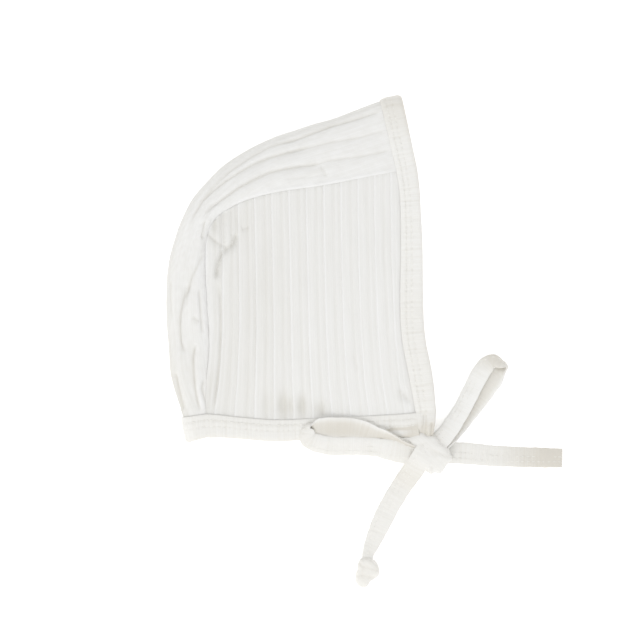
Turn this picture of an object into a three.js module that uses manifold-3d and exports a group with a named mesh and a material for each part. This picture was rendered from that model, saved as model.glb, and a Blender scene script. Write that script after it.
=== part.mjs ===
import * as THREE from 'three';
import { mergeVertices } from 'three/addons/utils/BufferGeometryUtils.js';
import Module from 'manifold-3d';

// A baby's bonnet of wide-rib knit, laid on its side with its ties in a bow.
// Millimetres. X runs forward to the face edge, Y runs up to the crown, +Z is up from the table.
// A crown strip runs from the forehead over the head to the nape between two side panels.
// It is folded on its middle line, so that one panel lies over the other.
// One binding wraps the neck edge, and a second wraps the face edge and runs on into the ties.

const wasm = await Module();
wasm.setup();

// Cloth
const WALL = 1.2; // thickness of the ribbed knit
const SEAM_GAP = 0.4; // between the crown strip and a panel
const PIECE_GAP = 0.3; // between a tape and the knot that it runs into
const RIB_COUNT = 11.6; // ribs across a side panel
const RIB_START = 0.9; // share of a rib before the first whole one
const RIB_FREE = 0.015; // share of a panel's width without ribs beside each upright edge
const LOWER_COLUMNS = 18; // steps across the lower panel

// Bindings: a folded tape with a slot that takes the cloth's edge
const SLOT = 1.8; // height of the slot
const LEAF = 1.2; // thickness of each leaf
const WEB = 1.4; // cloth at the closed edge of the slot
const TUCK = 7.4; // how far the cloth's edge goes into the slot
const CORNER_TUCK = 5; // the same where both bindings meet
const EDGE_LIFT = LEAF + SLOT / 2 - WALL / 2; // the lower cloth's height inside a binding
const LIFT_RUN = 18; // how far from a binding the lower cloth settles on the table
const BINDING_HALF = LEAF + SLOT / 2; // half of a binding's thickness
const OPEN_EDGE = { side: 0.8, up: 0.3 }; // rounding of a binding's inner edge
const CLOSED_EDGE = { far: 2.2, side: 0.7, up: 0.8 }; // rounding of its closed edge
const FACE_WIDTHS = { fold: 11.2, seam: 10.6 }; // of the face binding around the crown strip
const NECK_WIDTHS = { fold: 13.2, seam: 11.9 }; // of the neck binding around the crown strip
const CORNER_GAP = 0.5; // between the neck binding and the corner of the panels

// Ties
const TAPE_THICKNESS = 1.8;
const TAPE_EDGE = 0.4; // share of a tape's thickness that is left at its rounded edges
const KNOT_CENTRE = { x: 44.5, y: -83.7 };
const KNOT_HEIGHT = 13;
const END_KNOT_CENTRE = { x: 15.0, y: -142.8 };
const END_KNOT_HEIGHT = 8;
const KNOT_SPREAD = 0.62; // power that makes a knot's sides steep, 1 for a round one
const KNOT_RISE = 0.85; // power that flattens its top and bottom, 1 for a round one

// Crown strip: one row for each section from the face edge to the nape.
// seam is where a panel joins it, fold is its outermost point, and tops are heights of the upper layer.
const crownSections = [
  { seamX: 38.0, seamY: 58.0, foldX: 30.0, foldY: 93.3, seamTop: 13.5, foldTop: 14.0, puff: 0.0 },
  { seamX: 29.5, seamY: 56.3, foldX: 21.4, foldY: 91.7, seamTop: 13.5, foldTop: 14.0, puff: 0.0 },
  { seamX: 9.0, seamY: 52.3, foldX: -1.5, foldY: 83.3, seamTop: 14.5, foldTop: 14.5, puff: 0.3 },
  { seamX: -10.0, seamY: 48.8, foldX: -19.5, foldY: 77.9, seamTop: 15.0, foldTop: 15.0, puff: 0.4 },
  { seamX: -27.5, seamY: 46.3, foldX: -37.5, foldY: 71.2, seamTop: 16.0, foldTop: 16.5, puff: 0.5 },
  { seamX: -42.5, seamY: 42.8, foldX: -53.0, foldY: 62.2, seamTop: 16.5, foldTop: 18.0, puff: 0.8 },
  { seamX: -53.5, seamY: 37.8, foldX: -66.0, foldY: 50.5, seamTop: 17.0, foldTop: 19.0, puff: 1.0 },
  { seamX: -61.0, seamY: 32.0, foldX: -75.0, foldY: 38.3, seamTop: 17.5, foldTop: 20.0, puff: 1.2 },
  { seamX: -64.9, seamY: 22.3, foldX: -80.4, foldY: 24.8, seamTop: 17.5, foldTop: 20.0, puff: 1.4 },
  { seamX: -65.4, seamY: 7.3, foldX: -84.5, foldY: 8.3, seamTop: 17.5, foldTop: 20.0, puff: 1.5 },
  { seamX: -64.5, seamY: -12.8, foldX: -85.4, foldY: -11.8, seamTop: 17.5, foldTop: 20.0, puff: 1.5 },
  { seamX: -63.6, seamY: -30.3, foldX: -84.1, foldY: -30.3, seamTop: 17.0, foldTop: 19.0, puff: 1.3 },
  { seamX: -65.0, seamY: -47.8, foldX: -82.2, foldY: -47.8, seamTop: 16.0, foldTop: 17.5, puff: 0.8 },
  { seamX: -65.5, seamY: -64.5, foldX: -76.6, foldY: -66.3, seamTop: 14.5, foldTop: 15.0, puff: 0.0 },
  { seamX: -65.1, seamY: -72.5, foldX: -75.2, foldY: -74.4, seamTop: 14.5, foldTop: 15.0, puff: 0.0 },
];
const FACE_ROW = 1; // the section at the face binding
const CORNER_ROW = 7; // the section at the panels' rounded corner
const NAPE_ROW = 13; // the section at the neck binding

// Grooves and folds along the crown strip, from one section to another.
// across is 0 on the fold line and 1 at the seam.
const crownFolds = [
  { from: 0.8, to: 7.0, acrossFrom: 0.25, acrossTo: 0.3, depth: 0.9, width: 2.4 },
  { from: 0.8, to: 9.0, acrossFrom: 0.43, acrossTo: 0.4, depth: 0.9, width: 2.4 },
  { from: 0.8, to: 7.4, acrossFrom: 0.69, acrossTo: 0.78, depth: 1.1, width: 2.6 },
  { from: 0.8, to: 4.0, acrossFrom: 0.84, acrossTo: 0.84, depth: 0.4, width: 2.4 },
  { from: 8.0, to: 10.2, acrossFrom: 0.98, acrossTo: 0.58, depth: 1.6, width: 3.0 },
  { from: 10.0, to: 13.2, acrossFrom: 0.6, acrossTo: 0.52, depth: 1.6, width: 3.0 },
  { from: 9.4, to: 10.9, acrossFrom: 0.84, acrossTo: 0.9, depth: 0.9, width: 2.2 },
  { from: 10.9, to: 13.2, acrossFrom: 0.78, acrossTo: 0.93, depth: 1.1, width: 2.4 },
  { from: 7.6, to: 12.6, acrossFrom: 0.12, acrossTo: 0.16, depth: 0.5, width: 2.4 },
];
const UNDERSIDE_FOLD = 0.35; // folds are pressed to this share of their depth on the underside
const FOLD_FADE = 0.17; // share of a fold's length over which it fades in at each end
const BINDING_FADE = 0.17; // share of a section's length over which folds fade in at a binding

// Face binding from the seam down to the knot: inner edge, outer edge and top of the cloth
const faceRows = [
  { innerX: 29.5, innerY: 56.3, outerX: 40.0, outerY: 58.0, top: 13.5 },
  { innerX: 31.3, innerY: 42.8, outerX: 41.3, outerY: 43.3, top: 13.5 },
  { innerX: 31.8, innerY: 19.8, outerX: 42.4, outerY: 20.3, top: 13.5 },
  { innerX: 31.4, innerY: -11.3, outerX: 42.6, outerY: -10.8, top: 13.3 },
  { innerX: 32.4, innerY: -27.8, outerX: 44.1, outerY: -27.8, top: 13.0 },
  { innerX: 35.0, innerY: -41.8, outerX: 46.7, outerY: -40.8, top: 12.5 },
  { innerX: 37.2, innerY: -53.3, outerX: 48.6, outerY: -52.3, top: 12.0 },
  { innerX: 39.2, innerY: -64.0, outerX: 49.2, outerY: -63.5, top: 11.5 },
];
const tieRows = [
  { innerX: 41.2, innerY: -76.5, outerX: 47.6, outerY: -77.5, top: 8.5 },
  { innerX: 40.2, innerY: -70.5, outerX: 48.8, outerY: -70.5, top: 11.4 },
];

// Neck binding from the back seam to the face binding: upper edge, lower edge and top of the cloth
const neckRows = [
  { innerX: -65.5, innerY: -64.5, outerX: -64.8, outerY: -76.4, top: 14.5 },
  { innerX: -58.5, innerY: -65.0, outerX: -58.3, outerY: -75.8, top: 14.2 },
  { innerX: -49.3, innerY: -66.1, outerX: -49.0, outerY: -76.8, top: 13.8 },
  { innerX: -30.0, innerY: -67.5, outerX: -30.0, outerY: -77.8, top: 13.2 },
  { innerX: -8.5, innerY: -66.7, outerX: -8.5, outerY: -77.5, top: 12.6 },
  { innerX: 11.5, innerY: -65.8, outerX: 11.8, outerY: -76.8, top: 12.0 },
  { innerX: 29.0, innerY: -64.9, outerX: 30.0, outerY: -76.2, top: 11.6 },
  { innerX: 39.2, innerY: -64.0, outerX: 40.6, outerY: -76.3, top: 11.5 },
];

// One rib of the knit: share of the pitch and depth below the crest
const ribProfile = [
  { at: 0.0, depth: 0.6 },
  { at: 0.14, depth: 0.05 },
  { at: 0.46, depth: 0.0 },
  { at: 0.58, depth: 0.3 },
  { at: 0.78, depth: 0.1 },
];

// Tapes of the bow: centre line, width, and lean of the width above the left side of the line
const leftLoop = [
  { x: 41.0, y: -83.0, z: 8.0, width: 10.0, lean: 164 },
  { x: 32.0, y: -83.2, z: 11.5, width: 10.0, lean: 162 },
  { x: 20.0, y: -81.4, z: 15.2, width: 9.6, lean: 158 },
  { x: 7.5, y: -80.7, z: 16.6, width: 9.4, lean: 156 },
  { x: -3.5, y: -80.1, z: 17.4, width: 9.4, lean: 152 },
  { x: -11.5, y: -79.0, z: 18.4, width: 9.4, lean: 136 },
  { x: -15.8, y: -75.4, z: 19.2, width: 9.4, lean: 110 },
  { x: -15.4, y: -71.8, z: 19.4, width: 9.4, lean: 90 },
  { x: -11.6, y: -69.4, z: 19.4, width: 9.4, lean: 72 },
  { x: -2.0, y: -69.2, z: 19.0, width: 9.4, lean: 58 },
  { x: 7.0, y: -70.5, z: 18.6, width: 9.4, lean: 54 },
  { x: 20.0, y: -74.2, z: 17.4, width: 9.4, lean: 52 },
  { x: 30.0, y: -78.4, z: 14.6, width: 9.0, lean: 62 },
  { x: 41.0, y: -83.0, z: 11.5, width: 8.0, lean: 80 },
];
const rightLoop = [
  { x: 46.5, y: -82.0, z: 9.5, width: 10.0, lean: 166 },
  { x: 53.4, y: -75.8, z: 8.8, width: 10.0, lean: 164 },
  { x: 61.3, y: -63.7, z: 8.0, width: 9.4, lean: 162 },
  { x: 66.9, y: -53.7, z: 7.6, width: 9.2, lean: 160 },
  { x: 71.4, y: -45.2, z: 7.2, width: 9.2, lean: 154 },
  { x: 76.2, y: -39.4, z: 6.6, width: 9.2, lean: 138 },
  { x: 81.4, y: -38.4, z: 6.0, width: 9.2, lean: 114 },
  { x: 83.9, y: -41.2, z: 5.4, width: 9.2, lean: 88 },
  { x: 81.0, y: -47.0, z: 4.4, width: 9.2, lean: 52 },
  { x: 74.0, y: -55.8, z: 3.6, width: 9.2, lean: 30 },
  { x: 66.6, y: -65.2, z: 3.6, width: 9.2, lean: 28 },
  { x: 59.0, y: -74.6, z: 5.2, width: 9.0, lean: 30 },
  { x: 50.0, y: -83.0, z: 8.2, width: 8.0, lean: 34 },
];
const rightTail = [
  { x: 48.0, y: -84.0, z: 3.2, width: 10.4, lean: 0 },
  { x: 58.0, y: -84.0, z: 2.6, width: 10.4, lean: 0 },
  { x: 68.0, y: -84.6, z: 1.4, width: 10.3, lean: 0 },
  { x: 79.0, y: -85.7, z: 1.0, width: 10.1, lean: 0 },
  { x: 95.0, y: -86.3, z: 1.0, width: 9.6, lean: 0 },
  { x: 112.6, y: -86.7, z: 1.0, width: 9.2, lean: 0 },
];
const downTail = [
  { x: 42.5, y: -87.0, z: 5.0, width: 10.5, lean: 0 },
  { x: 37.2, y: -94.0, z: 4.0, width: 10.2, lean: 0 },
  { x: 31.0, y: -102.6, z: 1.9, width: 9.8, lean: 0 },
  { x: 25.5, y: -111.8, z: 1.1, width: 9.6, lean: 0 },
  { x: 21.0, y: -121.4, z: 1.0, width: 9.0, lean: 0 },
  { x: 17.4, y: -129.8, z: 1.1, width: 7.4, lean: 0 },
  { x: 15.3, y: -135.8, z: 1.6, width: 5.4, lean: 0 },
  { x: 15.0, y: -140.5, z: 3.0, width: 5.0, lean: 0 },
];

// Outlines of the two knots seen from above: direction in degrees and reach from the centre
const knotOutline = [
  { angle: 0, reach: 11.0 },
  { angle: 40, reach: 9.4 },
  { angle: 75, reach: 10.4 },
  { angle: 110, reach: 11.8 },
  { angle: 145, reach: 11.4 },
  { angle: 180, reach: 8.0 },
  { angle: 210, reach: 10.8 },
  { angle: 255, reach: 10.4 },
  { angle: 300, reach: 12.3 },
  { angle: 330, reach: 12.6 },
];
const endKnotOutline = [
  { angle: 0, reach: 5.8 },
  { angle: 45, reach: 5.7 },
  { angle: 90, reach: 6.4 },
  { angle: 130, reach: 6.3 },
  { angle: 180, reach: 4.7 },
  { angle: 222, reach: 7.3 },
  { angle: 257, reach: 8.4 },
  { angle: 290, reach: 5.6 },
  { angle: 338, reach: 5.4 },
];

// Steps of the grids
const PANEL_BANDS = [0, 0.03, 0.15, 0.3, 0.45, 0.6, 0.75, 0.9, 1]; // from the neck to the crown
const CROWN_STEPS_ALONG = 28;
const CROWN_STEPS_ACROSS = 32;
const FOLD_STEPS = 10; // of a binding around the fold
const LAYER_STEPS = 12; // of a binding along each layer
const TAPE_STEPS = 2; // between two rows of a tape
const NUDGE = 0.05; // share of a row on each side that gives a tape's direction
const KNOT_SECTORS = 24;
const KNOT_RINGS = 8;

// Smooth value of one column of a table at a position counted in rows
function smooth(rows, column, at) {
  const last = rows.length - 1;
  const row = Math.min(Math.max(Math.floor(at), 0), last - 1);
  const t = at - row;
  const value = (index) => {
    if (index < 0) return 2 * rows[0][column] - rows[1][column];
    if (index > last) return 2 * rows[last][column] - rows[last - 1][column];
    return rows[index][column];
  };
  const [a, b, c, d] = [value(row - 1), value(row), value(row + 1), value(row + 2)];
  const slopeStart = (c - a) / 2;
  const slopeEnd = (d - b) / 2;
  const cubic = 2 * b - 2 * c + slopeStart + slopeEnd;
  const square = -3 * b + 3 * c - 2 * slopeStart - slopeEnd;
  return ((cubic * t + square) * t + slopeStart) * t + b;
}

// Value of one column of a closed outline at an angle in degrees
function around(rows, angle) {
  const turn = ((angle % 360) + 360) % 360;
  const wrapped = [rows[rows.length - 1], ...rows, rows[0], rows[1]];
  const start = (index) => wrapped[index].angle + (index === 0 ? -360 : index > rows.length ? 360 : 0);
  let row = 1;
  while (row < rows.length && start(row + 1) <= turn) row += 1;
  const t = (turn - start(row)) / (start(row + 1) - start(row));
  return smooth(wrapped.slice(row - 1, row + 3), 'reach', 1 + t);
}

// How far the lower cloth is lifted at a distance from a binding
function lift(distance) {
  return EDGE_LIFT * (1 - THREE.MathUtils.smoothstep(distance, 0, LIFT_RUN));
}

// Depth of the grooves of the crown strip at a place, without those inside the bindings
function crownRelief(at, across, halfWidth) {
  let depth = 0;
  for (const fold of crownFolds) {
    const t = (at - fold.from) / (fold.to - fold.from);
    const ends = THREE.MathUtils.clamp(Math.min(t, 1 - t) / FOLD_FADE, 0, 1);
    const line = fold.acrossFrom + (fold.acrossTo - fold.acrossFrom) * t;
    const off = ((Math.abs(across) - line) * halfWidth) / fold.width;
    depth += fold.depth * ends * Math.exp(-off * off * 2);
  }
  const fromBinding = Math.min(at - FACE_ROW, NAPE_ROW - at);
  const clear = THREE.MathUtils.clamp(fromBinding / BINDING_FADE, 0, 1);
  return depth * clear * (across < 0 ? UNDERSIDE_FOLD : 1);
}

// Outer surface of the crown strip: across runs from -1 at the lower seam over 0 on the fold to 1
function crownSurface(at, across, relief = true) {
  const seam = new THREE.Vector2(smooth(crownSections, 'seamX', at), smooth(crownSections, 'seamY', at));
  const fold = new THREE.Vector2(smooth(crownSections, 'foldX', at), smooth(crownSections, 'foldY', at));
  const outward = fold.clone().sub(seam);
  const reach = outward.length();
  outward.normalize();

  const alongEnds = Math.min(at - FACE_ROW, NAPE_ROW - at) * LIFT_RUN;
  const floor = lift(Math.max(alongEnds, 0));
  const foldTop = smooth(crownSections, 'foldTop', at);
  const rise = smooth(crownSections, 'seamTop', at) - foldTop;
  const puff = smooth(crownSections, 'puff', at);
  const radius = (foldTop - floor) / 2;
  const arc = (radius * Math.PI) / 2;
  const flat = reach - radius - SEAM_GAP / 2;
  const distance = Math.abs(across) * (arc + flat);
  const side = across < 0 ? -1 : 1;

  let out;
  let height;
  let normal;
  if (distance <= arc) {
    const turn = distance / radius;
    out = reach - radius + radius * Math.cos(turn);
    height = floor + radius + side * radius * Math.sin(turn);
    normal = new THREE.Vector2(Math.cos(turn), side * Math.sin(turn));
  } else {
    const t = (distance - arc) / flat;
    out = reach - radius - (distance - arc);
    const swell = side > 0 ? rise * t * t + puff * Math.sin(Math.PI * t) : 0;
    const slope = side > 0 ? (2 * rise * t + Math.PI * puff * Math.cos(Math.PI * t)) / flat : 0;
    height = floor + radius + side * radius + swell;
    normal = new THREE.Vector2(slope, side).normalize();
  }
  const depth = relief ? crownRelief(at, across, arc + flat) : 0;
  const point = new THREE.Vector3(
    seam.x + outward.x * (out - normal.x * depth),
    seam.y + outward.y * (out - normal.x * depth),
    height - normal.y * depth,
  );
  const facing = new THREE.Vector3(outward.x * normal.x, outward.y * normal.x, normal.y);
  return { point, normal: facing, foldShare: arc / (arc + flat) };
}

// Closed solid between two grids of points, the outer one seen from outside
function shell(outer, inner) {
  const rows = outer.length;
  const columns = outer[0].length;
  const positions = [...outer.flat(), ...inner.flat()].flatMap((point) => point.toArray());
  const faces = [];
  const id = (layer, row, column) => (layer * rows + row) * columns + column;
  const quad = (a, b, c, d) => faces.push(a, b, c, a, c, d);
  for (let i = 0; i < rows - 1; i += 1) {
    for (let j = 0; j < columns - 1; j += 1) {
      quad(id(0, i, j), id(0, i, j + 1), id(0, i + 1, j + 1), id(0, i + 1, j));
      quad(id(1, i, j), id(1, i + 1, j), id(1, i + 1, j + 1), id(1, i, j + 1));
    }
  }
  for (let i = 0; i < rows - 1; i += 1) {
    quad(id(0, i, 0), id(0, i + 1, 0), id(1, i + 1, 0), id(1, i, 0));
    quad(id(0, i + 1, columns - 1), id(0, i, columns - 1), id(1, i, columns - 1), id(1, i + 1, columns - 1));
  }
  for (let j = 0; j < columns - 1; j += 1) {
    quad(id(0, 0, j + 1), id(0, 0, j), id(1, 0, j), id(1, 0, j + 1));
    quad(id(0, rows - 1, j), id(0, rows - 1, j + 1), id(1, rows - 1, j + 1), id(1, rows - 1, j));
  }
  return toGeometry(positions, faces);
}

// Closed solid swept through rings that all repeat one outline of [side, up] points
function sweep(rings, outline) {
  const count = outline.length;
  const positions = rings.flat().flatMap((point) => point.toArray());
  const faces = [];
  for (let i = 0; i < rings.length - 1; i += 1) {
    for (let j = 0; j < count; j += 1) {
      const next = (j + 1) % count;
      const [a, b, c, d] = [i * count + j, i * count + next, (i + 1) * count + next, (i + 1) * count + j];
      faces.push(a, b, c, a, c, d);
    }
  }
  const last = (rings.length - 1) * count;
  const clockwise = THREE.ShapeUtils.isClockWise(outline);
  for (const triangle of THREE.ShapeUtils.triangulateShape(outline, [])) {
    const [a, b, c] = clockwise ? triangle.reverse() : triangle;
    faces.push(a, c, b, last + a, last + b, last + c);
  }
  return toGeometry(positions, faces);
}

// Indexed geometry whose faces point outwards
function toGeometry(positions, faces) {
  const geometry = new THREE.BufferGeometry();
  geometry.setAttribute('position', new THREE.Float32BufferAttribute(positions, 3));
  const corner = (index) => new THREE.Vector3().fromArray(positions, index * 3);
  let volume = 0;
  for (let i = 0; i < faces.length; i += 3) {
    volume += corner(faces[i]).dot(corner(faces[i + 1]).cross(corner(faces[i + 2])));
  }
  geometry.setIndex(volume > 0 ? faces : faces.slice().reverse());
  geometry.computeVertexNormals();
  return geometry;
}

// Solid for joining and cutting
function toSolid(geometry) {
  const bare = geometry.clone();
  bare.deleteAttribute('normal');
  const merged = mergeVertices(bare, 1e-4);
  return new wasm.Manifold(
    new wasm.Mesh({
      numProp: 3,
      vertProperties: new Float32Array(merged.attributes.position.array),
      triVerts: new Uint32Array(merged.index.array),
    }),
  );
}

// One geometry without the room that a neighbour takes
function trimmed(geometry, neighbour) {
  const mesh = toSolid(geometry).subtract(toSolid(neighbour)).getMesh();
  const cut = new THREE.BufferGeometry();
  cut.setAttribute('position', new THREE.BufferAttribute(new Float32Array(mesh.vertProperties), 3));
  cut.setIndex(new THREE.BufferAttribute(new Uint32Array(mesh.triVerts), 1));
  cut.computeVertexNormals();
  return cut;
}

// Crown strip
function makeCrownStrip() {
  const outer = [];
  const inner = [];
  for (let i = 0; i <= CROWN_STEPS_ALONG; i += 1) {
    const at = (i / CROWN_STEPS_ALONG) * (crownSections.length - 1);
    const places = [];
    for (let j = 0; j <= CROWN_STEPS_ACROSS; j += 1) {
      places.push(crownSurface(at, (2 * j) / CROWN_STEPS_ACROSS - 1));
    }
    outer.push(places.map(({ point }) => point));
    inner.push(places.map(({ point, normal }) => point.clone().addScaledVector(normal, -WALL)));
  }
  return shell(outer, inner);
}

// Edge of a side panel along the crown strip between two sections
function panelSeam(fromRow, toRow) {
  const points = [];
  const steps = 8 * Math.abs(toRow - fromRow);
  for (let i = 0; i <= steps; i += 1) {
    const at = fromRow + ((toRow - fromRow) * i) / steps;
    const { point } = crownSurface(at, 1, false);
    const outward = new THREE.Vector3(
      smooth(crownSections, 'foldX', at) - smooth(crownSections, 'seamX', at),
      smooth(crownSections, 'foldY', at) - smooth(crownSections, 'seamY', at),
      0,
    ).normalize();
    points.push(point.addScaledVector(outward, -SEAM_GAP));
  }
  return new THREE.CatmullRomCurve3(points);
}

// Inner edge of a binding as a curve, with its ends moved to given corners
function bindingEdge(rows, start, end) {
  const points = rows.map((row) => new THREE.Vector3(row.innerX, row.innerY, row.top));
  points[0] = start;
  points[points.length - 1] = end;
  return new THREE.CatmullRomCurve3(points);
}

const panelBack = panelSeam(NAPE_ROW, CORNER_ROW);
const panelTop = panelSeam(CORNER_ROW, FACE_ROW);
const { innerX, innerY, top } = neckRows.at(-1);
const neckCorner = new THREE.Vector3(innerX, innerY, top);
const panelFront = bindingEdge(faceRows, panelTop.getPoint(1), neckCorner);
const panelNeck = bindingEdge(neckRows, panelBack.getPoint(0), neckCorner);

// Level direction across a binding, from its inner to its outer edge
function acrossBinding(rows, at) {
  return new THREE.Vector3(
    smooth(rows, 'outerX', at) - smooth(rows, 'innerX', at),
    smooth(rows, 'outerY', at) - smooth(rows, 'innerY', at),
    0,
  );
}

// Point of the upper panel: u runs from the back seam to the face, v from the neck to the crown
function panelPoint(u, v) {
  const back = panelBack.getPointAt(v);
  const front = panelFront.getPointAt(1 - v);
  const neck = panelNeck.getPointAt(u);
  const top = panelTop.getPointAt(u);
  const corners = [
    [panelNeck.getPoint(0), (1 - u) * (1 - v)],
    [panelNeck.getPoint(1), u * (1 - v)],
    [panelTop.getPoint(0), (1 - u) * v],
    [panelTop.getPoint(1), u * v],
  ];
  const point = new THREE.Vector3()
    .addScaledVector(back, 1 - u)
    .addScaledVector(front, u)
    .addScaledVector(neck, 1 - v)
    .addScaledVector(top, v);
  corners.forEach(([corner, weight]) => point.addScaledVector(corner, -weight));
  return point;
}

// Depth of the ribs at a share of the panel's width
function ribDepth(u) {
  const place = u * RIB_COUNT - RIB_START + 2;
  const share = place - Math.floor(place);
  const profile = [...ribProfile, { at: 1, depth: ribProfile[0].depth }];
  const next = profile.findIndex((row) => row.at > share);
  const [before, after] = [profile[next - 1], profile[next]];
  const t = (share - before.at) / (after.at - before.at);
  return before.depth + (after.depth - before.depth) * t;
}

// Columns of a panel's grid: the rib profile's own places, or even ones
function panelColumns(ribbed) {
  const columns = [0];
  const add = (u) => {
    if (u > RIB_FREE && u < 1 - RIB_FREE) columns.push(u);
  };
  if (ribbed) {
    for (let rib = -1; rib < RIB_COUNT; rib += 1) {
      ribProfile.forEach((row) => add((RIB_START + rib + row.at) / RIB_COUNT));
    }
  } else {
    for (let step = 1; step < LOWER_COLUMNS; step += 1) add(step / LOWER_COLUMNS);
  }
  return [...columns, 1 - RIB_FREE, 1];
}

// Side panel with tongues that go into both bindings. The lower one lies flat on the table.
function makePanel(upper) {
  const columns = panelColumns(upper);
  const panelHeight = panelBack.getLength();
  const panelWidth = panelNeck.getLength();
  const surface = (u, v, tuckRight, tuckDown) => {
    const point = panelPoint(u, v);
    const right = acrossBinding(faceRows, (1 - v) * (faceRows.length - 1)).normalize();
    const down = acrossBinding(neckRows, u * (neckRows.length - 1)).normalize();
    point.addScaledVector(right, tuckRight).addScaledVector(down, tuckDown);
    const inside = u === 1 || v === 0;
    if (upper) {
      point.z -= inside ? 0 : ribDepth(u);
    } else {
      point.z = Math.max(lift((1 - u) * panelWidth), lift(v * panelHeight));
    }
    return point;
  };
  const outer = [];
  const gridRow = (v, tuckDown) => {
    const atNeck = tuckDown > 0;
    const row = columns.map((u) => surface(u, v, 0, atNeck && u === 1 ? CORNER_TUCK : tuckDown));
    const edgeTuck = v === 0 ? CORNER_TUCK : TUCK;
    row.push(surface(1, v, edgeTuck, atNeck ? CORNER_TUCK : 0));
    return row;
  };
  outer.push(gridRow(0, TUCK));
  PANEL_BANDS.forEach((v) => outer.push(gridRow(v, 0)));
  const inner = outer.map((row) =>
    row.map((point) => point.clone().add(new THREE.Vector3(0, 0, upper ? -WALL : WALL))),
  );
  return shell(outer, inner);
}

// Outline of a folded binding: side from its inner edge, up from the middle of the cloth
function bindingOutline(width) {
  const half = SLOT / 2;
  const edge = [
    [0, half],
    [0, BINDING_HALF - OPEN_EDGE.up],
    [OPEN_EDGE.side, BINDING_HALF],
    [width - CLOSED_EDGE.far, BINDING_HALF],
    [width - CLOSED_EDGE.side, BINDING_HALF - CLOSED_EDGE.up],
  ];
  const mirrored = edge.map(([side, up]) => [side, -up]).reverse();
  const slot = [
    [width - WEB, -half],
    [width - WEB, half],
  ];
  return [...edge, [width, 0], ...mirrored, ...slot].map(([side, up]) => new THREE.Vector2(side, up));
}

// Binding swept along stations of { point, side, up } on the middle of the cloth
function makeBinding(stations) {
  const rings = stations.map(({ point, side, up }) => {
    const width = side.length();
    const across = side.clone().normalize();
    return bindingOutline(width).map((place) =>
      point.clone().addScaledVector(across, place.x).addScaledVector(up, place.y),
    );
  });
  return sweep(rings, bindingOutline(stations[0].side.length()));
}

// Stations along one layer of a binding, from its free end to the crown strip
function layerStations(rows, curve, upper, startAt) {
  const stations = [];
  for (let i = 0; i <= LAYER_STEPS; i += 1) {
    const along = startAt * (1 - i / LAYER_STEPS);
    const point = curve.getPointAt(along);
    point.z = upper ? point.z - WALL / 2 : BINDING_HALF;
    const side = acrossBinding(rows, along * (rows.length - 1));
    stations.push({ point, side, up: new THREE.Vector3(0, 0, upper ? 1 : -1) });
  }
  return stations;
}

// Stations around the fold of the crown strip at one of its ends
function foldStations(row, endRow, widths) {
  const { foldShare } = crownSurface(row, 0, false);
  const flat = [0.75, 0.5, 0.25, 0].map((share) => foldShare + (1 - foldShare) * share);
  const round = Array.from({ length: FOLD_STEPS - 1 }, (_, i) => foldShare * (1 - (2 * (i + 1)) / FOLD_STEPS));
  const places = [...flat, ...round, ...flat.map((share) => -share).reverse()];
  const stations = [];
  for (const across of places) {
    const here = crownSurface(row, across, false);
    const end = crownSurface(endRow, across, false);
    const share = Math.abs(across);
    const width = widths.fold + (widths.seam - widths.fold) * share;
    const side = end.point.sub(here.point).setZ(0).setLength(width);
    stations.push({ point: here.point.addScaledVector(here.normal, -WALL / 2), side, up: here.normal });
  }
  return stations;
}

// Whole binding: upper layer, fold and lower layer
function bindingPath(rows, curve, fold, ends, startAt) {
  const upper = layerStations(rows, curve, true, startAt);
  const lower = layerStations(rows, curve, false, startAt).reverse();
  return [...ends.upper, ...upper, ...fold, ...lower, ...ends.lower];
}

// Stations where the face binding leaves the cloth and narrows to the knot
function tieStations(upper) {
  return tieRows.map((row) => {
    const side = new THREE.Vector3(row.outerX - row.innerX, row.outerY - row.innerY, 0);
    const point = new THREE.Vector3(row.innerX, row.innerY, upper ? row.top - WALL / 2 : BINDING_HALF);
    return { point, side, up: new THREE.Vector3(0, 0, upper ? 1 : -1) };
  });
}

function makeFaceBinding() {
  const fold = foldStations(FACE_ROW, 0, FACE_WIDTHS);
  const curve = new THREE.CatmullRomCurve3(panelFront.getPoints(60));
  const ends = { upper: tieStations(true), lower: tieStations(false).reverse() };
  return makeBinding(bindingPath(faceRows, curve, fold, ends, 1));
}

function makeNeckBinding() {
  const fold = foldStations(NAPE_ROW, NAPE_ROW + 1, NECK_WIDTHS);
  const ends = { upper: [], lower: [] };
  const startAt = 1 - CORNER_GAP / panelNeck.getLength();
  return makeBinding(bindingPath(neckRows, panelNeck, fold, ends, startAt));
}

// Flat tape swept along the rows of a table
function makeTape(rows) {
  const half = TAPE_THICKNESS / 2;
  const outline = (width) => {
    const side = width / 2;
    const corners = [
      [side, -half * TAPE_EDGE],
      [side, half * TAPE_EDGE],
      [side - half, half],
      [half - side, half],
      [-side, half * TAPE_EDGE],
      [-side, -half * TAPE_EDGE],
      [half - side, -half],
      [side - half, -half],
    ];
    return corners.map(([x, y]) => new THREE.Vector2(x, y));
  };
  const steps = TAPE_STEPS * (rows.length - 1);
  const place = (at) =>
    new THREE.Vector3(smooth(rows, 'x', at), smooth(rows, 'y', at), smooth(rows, 'z', at));
  const rings = [];
  for (let i = 0; i <= steps; i += 1) {
    const at = i / TAPE_STEPS;
    const from = place(Math.max(at - NUDGE, 0));
    const forward = place(Math.min(at + NUDGE, rows.length - 1)).sub(from).normalize();
    const left = new THREE.Vector3(-forward.y, forward.x, 0).normalize();
    const lean = THREE.MathUtils.degToRad(smooth(rows, 'lean', at));
    const side = left.clone().multiplyScalar(Math.cos(lean));
    side.addScaledVector(new THREE.Vector3().crossVectors(forward, left), Math.sin(lean));
    const up = new THREE.Vector3().crossVectors(forward, side);
    const centre = place(at);
    rings.push(
      outline(smooth(rows, 'width', at)).map((point) =>
        centre.clone().addScaledVector(side, point.x).addScaledVector(up, point.y),
      ),
    );
  }
  return sweep(rings, outline(rows[0].width));
}

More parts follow.
